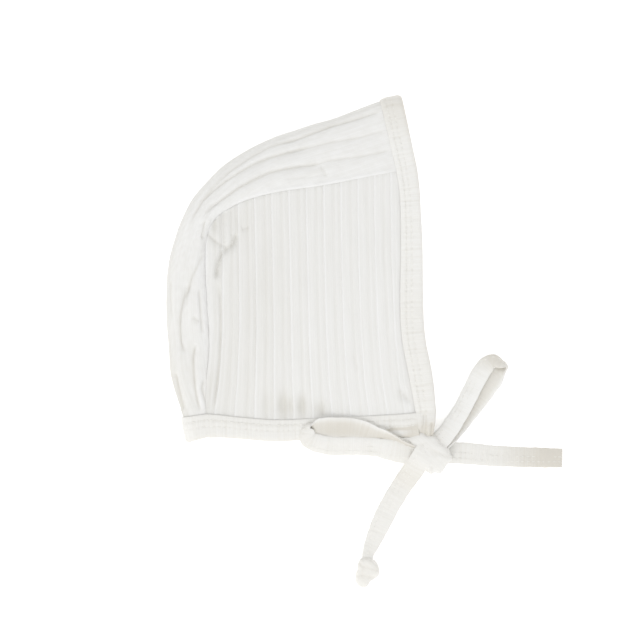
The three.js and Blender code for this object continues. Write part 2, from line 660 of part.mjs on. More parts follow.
// Rounded knot on the table, grown by a clearance where a tape is trimmed to it
function makeKnot(rows, centre, height, clearance = 0) {
  const half = height / 2;
  const positions = [centre.x, centre.y, -clearance];
  const faces = [];
  for (let ring = 1; ring < KNOT_RINGS; ring += 1) {
    const turn = Math.PI * (ring / KNOT_RINGS - 0.5);
    const spread = Math.cos(turn) ** KNOT_SPREAD;
    const rise = Math.sign(Math.sin(turn)) * Math.abs(Math.sin(turn)) ** KNOT_RISE;
    for (let sector = 0; sector < KNOT_SECTORS; sector += 1) {
      const angle = (360 * sector) / KNOT_SECTORS;
      const radius = (around(rows, angle) + clearance) * spread;
      const direction = THREE.MathUtils.degToRad(angle);
      positions.push(
        centre.x + radius * Math.cos(direction),
        centre.y + radius * Math.sin(direction),
        half + (half + clearance) * rise,
      );
    }
  }
  positions.push(centre.x, centre.y, height + clearance);
  const id = (ring, sector) => 1 + (ring - 1) * KNOT_SECTORS + (sector % KNOT_SECTORS);
  const top = positions.length / 3 - 1;
  for (let sector = 0; sector < KNOT_SECTORS; sector += 1) {
    faces.push(0, id(1, sector + 1), id(1, sector));
    faces.push(top, id(KNOT_RINGS - 1, sector), id(KNOT_RINGS - 1, sector + 1));
    for (let ring = 1; ring < KNOT_RINGS - 1; ring += 1) {
      const [a, b] = [id(ring, sector), id(ring, sector + 1)];
      const [c, d] = [id(ring + 1, sector + 1), id(ring + 1, sector)];
      faces.push(a, b, c, a, c, d);
    }
  }
  return toGeometry(positions, faces);
}

// Named mesh with a material of its own
function piece(name, geometry, color) {
  const material = new THREE.MeshStandardMaterial({ color, roughness: 0.95, metalness: 0 });
  const mesh = new THREE.Mesh(geometry, material);
  mesh.name = name;
  return mesh;
}

const KNIT_WHITE = 0xf3f1ec;
const TAPE_WHITE = 0xf5f3ee;
const knotRoom = makeKnot(knotOutline, KNOT_CENTRE, KNOT_HEIGHT, PIECE_GAP);
const endKnotRoom = makeKnot(endKnotOutline, END_KNOT_CENTRE, END_KNOT_HEIGHT, PIECE_GAP);
const tied = (rows) => trimmed(makeTape(rows), knotRoom);

const bonnet = new THREE.Group();
bonnet.add(
  piece('crown_strip', makeCrownStrip(), KNIT_WHITE),
  piece('side_panel_upper', makePanel(true), KNIT_WHITE),
  piece('side_panel_lower', makePanel(false), KNIT_WHITE),
  piece('face_binding', trimmed(makeFaceBinding(), knotRoom), TAPE_WHITE),
  piece('neck_binding', trimmed(makeNeckBinding(), knotRoom), TAPE_WHITE),
  piece('bow_knot', makeKnot(knotOutline, KNOT_CENTRE, KNOT_HEIGHT), TAPE_WHITE),
  piece('bow_loop_left', tied(leftLoop), TAPE_WHITE),
  piece('bow_loop_right', tied(rightLoop), TAPE_WHITE),
  piece('tie_tail_right', tied(rightTail), TAPE_WHITE),
  piece('tie_tail_down', trimmed(tied(downTail), endKnotRoom), TAPE_WHITE),
  piece('tie_end_knot', makeKnot(endKnotOutline, END_KNOT_CENTRE, END_KNOT_HEIGHT), TAPE_WHITE),
);

export default bonnet;
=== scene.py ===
import math
from collections import namedtuple

import bmesh
import bpy
import numpy as np
from mathutils import Matrix, Vector, noise


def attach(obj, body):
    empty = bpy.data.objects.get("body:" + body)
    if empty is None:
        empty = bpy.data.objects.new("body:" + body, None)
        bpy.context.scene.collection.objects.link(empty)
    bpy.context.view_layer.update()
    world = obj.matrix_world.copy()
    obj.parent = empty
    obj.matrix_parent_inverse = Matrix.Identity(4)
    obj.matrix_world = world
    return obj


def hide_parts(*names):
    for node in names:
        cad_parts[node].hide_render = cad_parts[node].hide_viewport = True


bl_info = {
    "name": "Baby bonnet",
    "version": (1, 0, 0),
    "blender": (4, 5, 0),
    "location": "View3D > Sidebar > Bonnet",
    "description": "A rib knit bonnet laid on its side, with its ties in a bow",
    "category": "Object",
}

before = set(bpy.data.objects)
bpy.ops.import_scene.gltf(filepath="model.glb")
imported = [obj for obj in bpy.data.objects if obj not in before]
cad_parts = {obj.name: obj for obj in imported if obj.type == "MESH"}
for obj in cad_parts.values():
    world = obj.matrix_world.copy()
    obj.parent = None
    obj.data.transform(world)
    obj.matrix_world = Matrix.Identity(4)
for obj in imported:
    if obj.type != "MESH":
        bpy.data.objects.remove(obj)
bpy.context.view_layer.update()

# Units and the photograph's frame
MM = 0.001
PIXEL = 0.5  # mm on the table for one pixel of the photograph
PHOTO_X = 337.0  # pixel column of X = 0
PHOTO_Y = 284.5  # pixel row of Y = 0
PHOTO_CENTRE = 315.0
PHOTO_WIDTH = 630
FOCUS_HEIGHT = 9.0  # mm above the table, where the photograph's scale holds
UV_SPAN = 100.0  # mm of cloth for one unit of a UV map
UP = np.array([0.0, 0.0, 1.0])

# Cloth and bindings, in mm, as in the CAD model
WALL = 1.2
RIB_PITCH = 8.25
SEAM_HALF = 0.05
LEAF = 1.2
SLOT = 1.8
BINDING_HALF = LEAF + SLOT / 2
EDGE_LIFT = LEAF + SLOT / 2 - WALL / 2
LIFT_RUN = 18.0
TUCK = 6.0
TAPE_THICKNESS = 1.5
BINDING_STEP = 0.45  # between the rings of a binding
TAPE_STEP = 0.5  # between the rings of a tape
NECK_REACH = 1.2  # of the neck binding's ends in under the face binding
STITCH_FREE = 13.0  # of the face binding beside the knot
OUTLINE_POINTS = 74  # around the outside of a folded binding
FRAY_FIBRES = 30
BINDING_TONE = 0.64  # painted light of the bindings, the ties and the bow's knot, before painted shade is taken off
# painted light of the end knot, darker than the bow's knot
END_KNOT_TONE = 0.5

# Rows of the crown strip's table at the face edge, the corner of the side panels and the nape
FACE_ROW = 1
CORNER_ROW = 7
NAPE_ROW = 13

# Studio, in metres
KEY_TOWARD = (-0.35, -0.75, 1.15)
KEY_DISTANCE = 1.3
KEY_SIZE = 0.7
FLOOR_HALF = 3.0

# Crown strip from the face edge to the nape: seam, fold line, heights of the upper layer
Section = namedtuple("Section", "seam_x seam_y fold_x fold_y seam_top fold_top puff")
CROWN = [
    Section(38, 58, 30, 93.3, 13.5, 14, 0),
    Section(29.5, 56.3, 21.4, 91.7, 13.5, 14, 0),
    Section(9, 52.3, -1.5, 83.3, 14.5, 14.5, 0.3),
    Section(-10, 48.8, -19.5, 77.9, 15, 15, 0.4),
    Section(-27.5, 46.3, -37.5, 71.2, 16, 16.5, 0.5),
    Section(-42.5, 42.8, -53, 62.2, 16.5, 18, 0.8),
    Section(-53.5, 37.8, -66, 50.5, 17, 19, 1),
    Section(-61, 32, -75, 38.3, 17.5, 20, 1.2),
    Section(-64.9, 22.3, -80.4, 24.8, 17.5, 20, 1.4),
    Section(-65.4, 7.3, -84.5, 8.3, 17.5, 20, 1.5),
    Section(-64.5, -12.8, -85.4, -11.8, 17.5, 20, 1.5),
    Section(-63.6, -30.3, -84.3, -30.3, 17, 19, 1.3),
    Section(-65, -47.8, -82.6, -47.8, 16, 17.5, 0.8),
    Section(-65.5, -64.5, -77, -66.3, 14.5, 15, 0),
    Section(-65.1, -72.5, -75.2, -74.4, 14.5, 15, 0),
]

# Bindings: inner edge, outer edge and top of the cloth
Edge = namedtuple("Edge", "inner_x inner_y outer_x outer_y top")
FACE_EDGE = [
    Edge(29.5, 56.3, 40, 58, 13.5),
    Edge(31.3, 42.8, 41.5, 43.3, 13.5),
    Edge(31.8, 19.8, 42.6, 20.3, 13.5),
    Edge(31.4, -11.3, 42.7, -10.8, 13.3),
    Edge(32.4, -27.8, 44.1, -27.8, 13),
    Edge(35, -41.8, 46.8, -40.8, 12.5),
    Edge(37.2, -53.3, 49, -52.3, 12),
    Edge(39.2, -64, 49.6, -63.5, 11.5),
]
TIE_START = [
    Edge(41.2, -76.5, 47.6, -77.5, 8.6),
    Edge(40.2, -70.5, 48.9, -70.5, 11.9),
]
NECK_EDGE = [
    Edge(-65.5, -64.5, -64.8, -76.6, 14.5),
    Edge(-58.5, -65, -58.3, -76, 14.2),
    Edge(-49.3, -66.1, -49, -77.1, 13.8),
    Edge(-30, -67.5, -30, -78.2, 13.2),
    Edge(-8.5, -66.7, -8.5, -77.9, 12.6),
    Edge(11.5, -65.8, 11.8, -76.8, 12),
    Edge(29, -64.9, 30, -76.2, 11.6),
    Edge(39.2, -64, 40.6, -76.3, 10.8),
]
FACE_WIDTHS = (11.2, 10.6)  # around the crown strip: on the fold and at the seam
NECK_WIDTHS = (13.2, 11.9)

# Ties: centre line, width, lean of the width above the left side of the line, painted shade (below 0,
# painted light)
Tie = namedtuple("Tie", "x y z width lean shade", defaults=(0,))
LOOP_LEFT = [
    Tie(41, -82.6, 8.8, 13, 168, 0.2),
    Tie(32, -82.9, 10.8, 13, 168, 0.1),
    Tie(26, -82.4, 12, 10.6, 169),
    Tie(19, -81.1, 13, 9.4, 171),
    Tie(7, -80.5, 13.7, 9.2, 172),
    Tie(-2, -80.6, 14, 9.3, 172),
    Tie(-9.6, -79.2, 14.5, 9.4, 170, 0.05),
    Tie(-14, -77.2, 14.8, 8.8, 170, 0.1),
    Tie(-14.8, -74.9, 15, 8, 168, 0.1),
    Tie(-14.4, -72.5, 15.2, 7, 162, 0.1),
    Tie(-13.6, -70.6, 15.3, 4.6, 128, 0.1),
    Tie(-12, -70.9, 15.4, 6.6, 24, -0.1),
    Tie(-10, -71.3, 15.3, 9.2, 12, -0.1),
    Tie(-6.5, -71.3, 15, 10, 8),
    Tie(-1, -71.4, 14.6, 10.3, 4, 0.1),
    Tie(5, -71.5, 14.5, 10.2, 2, 0.1),
    Tie(10, -72.1, 14.4, 10, 3),
    Tie(15, -73.5, 14.4, 9.4, 8),
    Tie(19, -75, 14.4, 8.8, 16),
    Tie(23, -75.9, 14.2, 8, 28, 0.1),
    Tie(27, -77.2, 13.7, 7, 40, 0.4),
    Tie(31, -79.1, 12.8, 6.2, 50, 0.55),
    Tie(36, -81.2, 11, 5.6, 50, 0.6),
    Tie(41, -83, 8.8, 5.2, 50, 0.7),
]
LOOP_RIGHT = [
    Tie(46, -82, 9.4, 10, 168, 0.4),
    Tie(53.8, -75.6, 7.6, 9.6, 169, -0.1),
    Tie(61.8, -63.9, 5.4, 8.8, 170, -0.2),
    Tie(67.1, -53.8, 4.2, 9, 170, -0.2),
    Tie(71.5, -45.3, 3.5, 9.1, 168, -0.15),
    Tie(74.9, -40.6, 3.2, 8.8, 166, 0.2),
    Tie(78.2, -38.4, 3.2, 7.4, 160, 0.5),
    Tie(82.2, -39.7, 3.2, 6.2, 138, 0.5),
    Tie(84.9, -41.2, 3, 5.2, 92, 0.2),
    Tie(82.3, -43.4, 3.1, 6.8, 36, -0.2),
    Tie(79.4, -46.6, 2.9, 10, 21, -0.3),
    Tie(76.3, -50.6, 2.6, 9.9, 16, -0.2),
    Tie(72.7, -55.7, 2.5, 9.6, 14, -0.2),
    Tie(65.5, -65.1, 3, 9.2, 15, -0.2),
    Tie(58.3, -74.2, 4.3, 8.8, 21, -0.2),
    Tie(50, -83, 7.4, 8, 38),
]
TAIL_RIGHT = [
    Tie(48, -84.3, 3.2, 11, -4, 0.2),
    Tie(58, -84.4, 2.8, 11, -8),
    Tie(68, -85, 2.2, 10.9, -10),
    Tie(79, -86, 2.2, 10.7, -12, 0.05),
    Tie(95, -86.6, 2.7, 10.5, -20, 0.45),
    Tie(112.8, -87, 3.5, 10.8, -32, 1),
]
TAIL_DOWN = [
    Tie(46.4, -79.9, 10.4, 10, 0),
    Tie(44.2, -83.2, 11.9, 10.4, 0),
    Tie(41.4, -87.6, 11.4, 10.5, 0, 0.05),
    Tie(37.8, -93.4, 7.4, 10.4, 0, 0.3),
    Tie(34.6, -98, 3.8, 10.4, 0, 0.3),
    Tie(31.5, -102.8, 1.9, 10.2, 0, 0.1),
    Tie(26.1, -111.9, 1.1, 10.2, 0),
    Tie(21.5, -121.4, 1, 9.6, 0),
    Tie(17.8, -129.8, 1.6, 7.8, 0),
    Tie(15.7, -134.8, 3.2, 6, 0),
    Tie(15, -139.5, 5, 5.4, 0),
]

# Knots: outline from above in photograph pixels, widest level and top in mm
KNOT_MIDDLE = (429, 452)
KNOT_LEVEL = 5.5
KNOT_TOP = 12.6
KNOT = [
    (452.5, 459), (450.5, 453.5), (441.5, 443), (434, 435), (427, 433.5), (421, 430), (416, 430.6),
    (408, 432.6), (397, 436), (404, 441.5), (411, 445.7), (413, 451), (415, 456.5), (418.5, 462),
    (421.5, 467), (425.5, 471), (427.5, 471.8), (431, 475), (434.5, 472.4), (440.5, 473.4), (447.5, 464.5),
]
END_KNOT_MIDDLE = (367, 570.5)
END_KNOT_LEVEL = 3.5
END_KNOT_TOP = 8.0
END_KNOT = [
    (379.6, 569.5), (376.8, 563.5), (371.5, 559.5), (365.5, 558.3), (360.5, 559.5), (357.8, 564),
    (358, 570), (356.2, 577), (355.6, 583), (360.5, 588), (366, 588.4), (370, 582.8), (375.2, 579),
    (379.4, 575.2),
]

# Ribs: at five heights of the photograph, the pixel columns of the first and the last rib's raised
# left edge. The ribs between are evenly spaced, then moved by bow, which is most in the middle, and
# by sway, which has opposite signs in the back and the front half, both in pixels.
RIB_COUNT = 11
RibRow = namedtuple("RibRow", "height first last bow sway")
RIB_ROWS = [
    RibRow(200, 221, 390, 0, -0.8),
    RibRow(260, 222.5, 391, 0, -0.6),
    RibRow(330, 222.5, 394, 0, -0.4),
    RibRow(380, 219, 398.5, 1.3, -0.4),
    RibRow(411, 214.5, 404, 2.8, 0),
]
RIB_PITCH_PX = 17.0  # beyond the first and the last rib

# One rib from its raised edge to the next: share of the pitch, depth in mm, painted light (a painted
# highlight on the raised edge, painted shade in the valley)
RIB_SHAPE_AT = (0, 0.03, 0.07, 0.13, 0.24, 0.34, 0.46, 0.54, 0.61, 0.70, 0.77, 0.86, 0.95, 1)
RIB_SHAPE_DEPTH = (0.42, 0.02, -0.08, 0.04, 0.08, 0.06, 0.14, 0.28, 0.38, 0.24, 0.16, 0.24, 0.38, 0.42)
RIB_SHAPE_TONE = (0.60, 0.90, 0.86, 0.66, 0.62, 0.64, 0.60, 0.52, 0.48, 0.60, 0.65, 0.58, 0.53, 0.60)
RIB_STRENGTH_AT = (-2, 4, 11)  # ribs stand out more toward the back
RIB_STRENGTH = (1.2, 1, 0.7)

# Creases seen from above, as photograph pixels, with depth and half width in mm; their bottoms get painted
# shade.
# skew above 0 makes the side to the left of the line's direction wider.
Crease = namedtuple("Crease", "points depth width skew", defaults=(0,))
CROWN_CREASES = [
    Crease([(399, 105), (385, 110), (360, 118), (330, 126), (300, 138), (280, 143.5)], 1.6, 2, 0.35),
    Crease([(300, 138), (270, 147), (250, 158), (232, 170), (212, 188), (203, 199)], 0.8, 1.2, 0.3),
    Crease([(399, 126), (380, 132), (360, 138), (330, 143), (300, 150), (285, 154)], 0.7, 1.5, 0.35),
    Crease([(310, 147.5), (285, 154), (270, 158), (255, 164), (240, 172.5), (225, 182), (212, 191.5),
            (202, 201), (195, 214), (190, 226)], 1.25, 1.4, 0.35),
    Crease([(399, 148), (380, 153), (360, 157), (330, 161), (318, 163.5)], 0.7, 1.5, 0.35),
    Crease([(328, 162), (314, 165.5), (300, 167), (285, 169.5), (270, 173), (255, 180), (240, 188),
            (225, 198.5), (212, 207), (203, 217)], 1.55, 1.5, 0.35),
    Crease([(320, 166), (323, 171), (327, 177)], 0.6, 1),
    Crease([(327, 175), (305, 178), (284, 180)], 0.3, 1),
    Crease([(205, 254), (199, 266), (193, 277), (187, 292)], 0.8, 1.4, -0.2),
    Crease([(191, 283), (184.5, 299), (181, 312), (180, 326), (181, 342), (184, 350), (187, 353)],
           1.8, 1.6, -0.2),
    Crease([(200.3, 288), (201.5, 308), (203, 327), (203, 334)], 0.8, 0.8),
    Crease([(193, 317), (200, 321)], 0.7, 1.4),
    Crease([(197, 343), (193.5, 356), (194, 371), (195.5, 388), (198, 401), (201, 413)], 1.5, 1.9, -0.5),
    Crease([(205, 379), (203, 388), (206, 400), (209, 411)], 0.8, 0.8),
    Crease([(174, 372), (177, 384), (179.5, 396), (183, 411)], 1.3, 1.5, 0.2),
    Crease([(205.5, 221), (204.5, 230), (203.3, 240)], 0.9, 1.2),
    Crease([(171, 280), (171, 300), (172, 320)], 0.5, 1),
]
PANEL_CREASES = [
    Crease([(205, 231), (211, 238), (217, 243), (223, 247), (229, 248)], 1, 1.5),
    Crease([(222.5, 210), (223, 228), (223.4, 240), (223.6, 250)], 1.4, 1),
    Crease([(236.5, 232), (234, 244), (229, 247.5), (223, 252), (219.8, 260), (217.8, 268), (216.5, 280)],
           2.6, 1.4, 0.2),
    Crease([(217, 280), (220, 296), (221.2, 314), (221, 340), (220.4, 358), (218, 380), (214, 411)],
           0.9, 0.9, -0.3),
    Crease([(242, 230), (249, 228)], 0.7, 1.5),
    Crease([(352, 352), (356, 364), (358, 372)], 0.35, 1),
    Crease([(398, 389), (404, 396), (411, 402)], 0.7, 1.5),
]
FACE_BINDING_CREASES = [
    Crease([(424.5, 412), (424.6, 420), (424, 428), (423, 438), (422, 446)], 1.6, 0.9),
    Crease([(431.5, 421), (431.8, 430), (431, 440), (430, 448)], 1.3, 0.8),
]
NECK_BINDING_CREASES = [
    Crease([(384, 431.5), (392, 429), (404, 428.5), (418, 427.5)], 0.7, 2.9, -0.4),
]
KNOT_CREASES = [
    Crease([(423, 446), (431, 449.5), (439, 453), (450, 458)], 0.5, 1, 0.3),
    Crease([(430, 451), (434, 453.5), (438, 456)], 0.4, 0.7),
    Crease([(427, 476), (426.6, 472), (427, 468)], 0.6, 0.7),
    Crease([(431, 477), (431.4, 471), (431, 465)], 0.6, 0.7),
    Crease([(413, 447), (420, 445.5), (428, 441.5)], 0.35, 1.2),
]
END_KNOT_CREASES = [
    Crease([(356, 562), (363, 566), (371, 569), (379, 571)], 0.5, 1.1),
    Crease([(356, 577), (363, 576), (370, 577), (375, 579)], 0.5, 1),
    Crease([(364, 566), (362.5, 571), (362, 577)], 0.3, 0.8),
]

# Soft hollows of the side panel: place and half widths in pixels, depth in mm, which also sets their
# painted shade
Hollow = namedtuple("Hollow", "x y reach_x reach_y depth")
PANEL_HOLLOWS = [
    Hollow(267, 403, 6, 14, 0.8),
    Hollow(232, 218, 16, 18, 0.3),
    Hollow(283, 404, 5, 13, 1.7),
    Hollow(290, 405, 3, 9, 1.1),
    Hollow(302, 405, 4, 11, 1.7),
    Hollow(321, 409, 5, 8, 1.2),
    Hollow(300, 408, 26, 9, 0.4),
    Hollow(225, 385, 34, 44, 0.35),
    Hollow(405, 396, 6, 5, 0.6),
    Hollow(216, 226, 4, 8, 0.7),
    Hollow(228, 228, 4.5, 12, -0.5),
    Hollow(262, 300, 22, 60, 0.4),
    Hollow(238, 224, 12, 20, 0.3),
]


def from_photo(points):
    """Photograph pixels as X and Y in mm."""
    points = np.asarray(points, dtype=float)
    return np.stack([(points[..., 0] - PHOTO_X) * PIXEL, (PHOTO_Y - points[..., 1]) * PIXEL], axis=-1)


def linear(code):
    """An sRGB hex colour as linear values."""
    parts = [int(code[i : i + 2], 16) / 255 for i in (1, 3, 5)]
    return [part / 12.92 if part <= 0.04045 else ((part + 0.055) / 1.055) ** 2.4 for part in parts]


def smoothstep(value):
    value = np.clip(value, 0.0, 1.0)
    return value * value * (3 - 2 * value)


def spline(values, at):
    """Smooth curve through rows of values at places counted in rows."""
    values = np.asarray(values, dtype=float)
    values = np.concatenate([[2 * values[0] - values[1]], values, [2 * values[-1] - values[-2]]])
    at = np.clip(at, 0, len(values) - 3)
    row = np.minimum(at.astype(int), len(values) - 4)
    t = at - row
    if values.ndim > 1:
        t = t[..., None]
    a, b, c, d = (values[row + step] for step in range(4))
    start, end = (c - a) / 2, (d - b) / 2
    return (((2 * b - 2 * c + start + end) * t + 3 * c - 3 * b - 2 * start - end) * t + start) * t + b


def along(rows, column, at):
    """Smooth value of a table's column at places counted in rows."""
    return spline([getattr(row, column) for row in rows], np.asarray(at, dtype=float))


def bell(distance, width):
    """A smooth hump that is 1 at no distance and fades over its width."""
    return np.exp(-((distance / width) ** 2))


def unit(vectors):
    """The same directions, each 1 long."""
    return vectors / np.linalg.norm(vectors, axis=-1)[..., None]


def lengths(points):
    """Length along a line of points, from 0 at its first point."""
    return np.concatenate([[0], np.cumsum(np.linalg.norm(np.diff(points, axis=0), axis=1))])


def evenly(points, shares):
    """Points at shares of a line's length."""
    length = lengths(points)
    return np.stack([np.interp(shares * length[-1], length, points[:, axis]) for axis in range(3)], axis=-1)


def lift(distance):
    """Height of the lower cloth above the table at a distance from a binding."""
    return EDGE_LIFT * (1 - smoothstep(distance / LIFT_RUN))


def ripple(points, size, seed):
    """Slow unevenness from about -1 to 1 at points in mm."""
    total = np.zeros(points.shape[:-1])
    for step in range(5):
        turn = seed * 1.7 + step * 2.4
        way = np.array([math.cos(turn), math.sin(turn), 0.7 * math.sin(1.3 * turn)])
        total += np.sin(points @ way * (math.pi / size) * (0.6 + 0.25 * step) + seed * 3.1 + step * 1.9)
    return total / 2.8


def crease_depth(places, creases):
    """Depth of creases at X and Y in mm, and how near their bottoms are, from 0 to 1."""
    total = np.zeros(places.shape[:-1])
    bottom = np.zeros(places.shape[:-1])
    for crease in creases:
        line = from_photo(crease.points)
        starts = lengths(line)
        nearest = np.full(total.shape, 1e9)
        off = np.zeros(total.shape)
        share = np.zeros(total.shape)
        for i, span in enumerate(np.diff(starts)):
            way = (line[i + 1] - line[i]) / span
            here = places - line[i]
            t = np.clip(here @ way, 0, span)
            gap = here - t[..., None] * way
            distance = np.linalg.norm(gap, axis=-1)
            side = way[0] * here[..., 1] - way[1] * here[..., 0]
            closer = distance < nearest
            nearest = np.where(closer, distance, nearest)
            off = np.where(closer, np.sign(side) * distance, off)
            share = np.where(closer, (starts[i] + t) / starts[-1], share)
        width = crease.width * (1 + crease.skew * np.sign(off))
        fade = smoothstep(np.minimum(share, 1 - share) / 0.14 + 0.1)
        total += crease.depth * fade * np.maximum(1 - nearest / (2.6 * width), 0) ** 2.2
        bottom += min(crease.depth, 1.0) * fade * bell(nearest, 0.7)
    return total, np.minimum(bottom, 1.0)


def hollow_depth(places, hollows):
    """Depth of soft hollows at X and Y in mm."""
    total = np.zeros(places.shape[:-1])
    for hollow in hollows:
        centre = from_photo((hollow.x, hollow.y))
        x = (places[..., 0] - centre[0]) / (hollow.reach_x * PIXEL)
        y = (places[..., 1] - centre[1]) / (hollow.reach_y * PIXEL)
        total = total + hollow.depth * np.exp(-(x**2 + y**2))
    return total


def grid_mesh(points, uvs, tones):
    """A bmesh grid moved to rows of points in mm, with UV places in mm of cloth and tones."""
    rows, columns = points.shape[:2]
    bm = bmesh.new()
    layer = bm.loops.layers.uv.new("UVMap")
    tone = bm.verts.layers.float.new("tone")
    bmesh.ops.create_grid(bm, x_segments=columns - 1, y_segments=rows - 1, size=0.5)
    place = {}
    for vert in bm.verts:
        column = round((vert.co.x + 0.5) * (columns - 1))
        row = round((vert.co.y + 0.5) * (rows - 1))
        place[vert] = (row, column)
    for face in bm.faces:
        face.smooth = True
        for loop in face.loops:
            loop[layer].uv = uvs[place[loop.vert]] / UV_SPAN
    for vert, at in place.items():
        vert.co = points[at] * MM
        vert[tone] = tones[at]
    return bm


def tube_mesh(points, uvs, tones):
    """A closed tube from rings of points in mm, with both ends filled."""
    points, tones = (np.concatenate([rings, rings[:, :1]], axis=1) for rings in (points, tones))
    bm = grid_mesh(points, uvs, tones)
    bmesh.ops.remove_doubles(bm, verts=bm.verts, dist=1e-7)
    ends = [edge for edge in bm.edges if edge.is_boundary]
    bmesh.ops.holes_fill(bm, edges=ends, sides=0)
    bmesh.ops.recalc_face_normals(bm, faces=bm.faces)
    return bm


def finish_piece(bm, name, material, *nodes, wall=0.0):
    """A finished object that stands for its CAD nodes."""
    mesh = bpy.data.meshes.new(name)
    bm.to_mesh(mesh)
    bm.free()
    piece = bpy.data.objects.new(name, mesh)
    bpy.context.scene.collection.objects.link(piece)
    mesh.materials.append(material)
    if wall:
        solidify = piece.modifiers.new("Cloth thickness", "SOLIDIFY")
        solidify.thickness = wall * MM
        solidify.offset = -1
    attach(piece, "root")
    if nodes:
        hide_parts(*nodes)
    return piece


def crown_surface(at, across):
    """Outer surface of the crown strip, its normals and the cloth's distance from the fold line."""
    seam = np.stack([along(CROWN, "seam_x", at), along(CROWN, "seam_y", at)], axis=-1)
    fold = np.stack([along(CROWN, "fold_x", at), along(CROWN, "fold_y", at)], axis=-1)
    outward = fold - seam
    reach = np.linalg.norm(outward, axis=-1)
    outward = outward / reach[..., None]
    floor = lift(np.maximum(np.minimum(at - FACE_ROW, NAPE_ROW - at), 0) * LIFT_RUN)
    fold_top = along(CROWN, "fold_top", at)
    rise = along(CROWN, "seam_top", at) - fold_top
    puff = along(CROWN, "puff", at)
    radius = (fold_top - floor) / 2
    arc = radius * math.pi / 2
    flat = reach - radius - SEAM_HALF
    distance = np.abs(across) * (arc + flat)
    side = np.where(across < 0, -1.0, 1.0)
    turn = np.minimum(distance / radius, math.pi / 2)
    t = np.maximum(distance - arc, 0) / flat
    out = reach - radius + radius * np.cos(turn) - t * flat
    swell = np.where(side > 0, rise * t * t + puff * np.sin(math.pi * t), 0)
    height = floor + radius + side * radius * np.sin(turn) + swell
    slope = np.where((side > 0) & (t > 0), (2 * rise * t + math.pi * puff * np.cos(math.pi * t)) / flat, 0)
    level = np.cos(turn) + slope
    points = np.concatenate([seam + outward * out[..., None], height[..., None]], axis=-1)
    normals = np.concatenate([outward * level[..., None], (side * np.sin(turn))[..., None]], axis=-1)
    return points, unit(normals), distance * side


def outward_at(at):
    """Level directions from the seam to the fold line of the crown strip."""
    x = along(CROWN, "fold_x", at) - along(CROWN, "seam_x", at)
    y = along(CROWN, "fold_y", at) - along(CROWN, "seam_y", at)
    return unit(np.stack([x, y, np.zeros_like(x)], axis=-1))


def seam_edge(from_row, to_row):
    """Edge of a side panel along the crown strip."""
    at = np.linspace(from_row, to_row, 90)
    points = crown_surface(at, np.ones_like(at))[0]
    return points - 2 * SEAM_HALF * outward_at(at)


def binding_edge(rows, start, end):
    """Inner edge of a binding, with its ends moved to given corners."""
    points = np.array([(row.inner_x, row.inner_y, row.top) for row in rows])
    points[0] = start
    points[-1] = end
    return spline(points, np.linspace(0, len(rows) - 1, 120))


def across_binding(rows, at):
    """Level vector across a binding."""
    x = along(rows, "outer_x", at) - along(rows, "inner_x", at)
    y = along(rows, "outer_y", at) - along(rows, "inner_y", at)
    return np.stack([x, y, np.zeros_like(x)], axis=-1)


PANEL_BACK = seam_edge(NAPE_ROW, CORNER_ROW)
PANEL_TOP = seam_edge(CORNER_ROW, FACE_ROW)
PANEL_CORNER = np.array([NECK_EDGE[-1].inner_x, NECK_EDGE[-1].inner_y, NECK_EDGE[-1].top])
PANEL_FRONT = binding_edge(FACE_EDGE, PANEL_TOP[-1], PANEL_CORNER)
PANEL_NECK = binding_edge(NECK_EDGE, PANEL_BACK[0], PANEL_CORNER)


def panel_surface(u, v):
    """Side panel without ribs: u from the back seam to the face, v from the neck to the crown."""
    back, front = evenly(PANEL_BACK, v), evenly(PANEL_FRONT, 1 - v)
    neck, top = evenly(PANEL_NECK, u), evenly(PANEL_TOP, u)
    u, v = u[..., None], v[..., None]
    corners = PANEL_BACK[0] * (1 - u) * (1 - v) + PANEL_CORNER * u * (1 - v)
    corners = corners + PANEL_TOP[0] * (1 - u) * v + PANEL_TOP[-1] * u * v
    return back * (1 - u) + front * u + neck * (1 - v) + top * v - corners


def rib_edges(py):
    """Pixel columns of every rib's raised edge, at pixel rows of the photograph."""
    heights = [row.height for row in RIB_ROWS]
    first, last, bow, sway = (np.interp(py, heights, column) for column in list(zip(*RIB_ROWS))[1:])
    edges = []
    for share in np.linspace(0, 1, RIB_COUNT):
        moved = bow * 4 * share * (1 - share) + sway * math.sin(2 * math.pi * share)
        edges.append(first + (last - first) * share + moved)
    return np.array(edges)


def rib_place(points):
    """Place among the ribs, counted from the first rib's edge, at points in mm."""
    px = points[..., 0] / PIXEL + PHOTO_X
    py = PHOTO_Y - points[..., 1] / PIXEL
    edges = rib_edges(py)
    edges = np.concatenate([[edges[0] - 2 * RIB_PITCH_PX, edges[0] - RIB_PITCH_PX], edges,
                            [edges[-1] + RIB_PITCH_PX, edges[-1] + 2 * RIB_PITCH_PX]])
    place = np.zeros(px.shape)
    for k in range(len(edges) - 1):
        inside = (px >= edges[k]) & (px < edges[k + 1])
        place = np.where(inside, k - 2 + (px - edges[k]) / (edges[k + 1] - edges[k]), place)
    return place


def panel_columns(per_rib):
    """Columns counted in ribs: even steps before the first edge and after the last, denser at edges."""
    near_edge = np.linspace(0, 0.12, 5)[:-1]
    shape = np.concatenate([near_edge, np.linspace(0.12, 0.9, per_rib - 7), [0.94, 0.97, 0.985]])
    before = np.linspace(0, 1, 14)[:-1]
    ribs = np.concatenate([1 + k + shape for k in range(RIB_COUNT - 1)])
    after = RIB_COUNT + np.linspace(0, 1, 14)
    return np.concatenate([before, ribs, after])


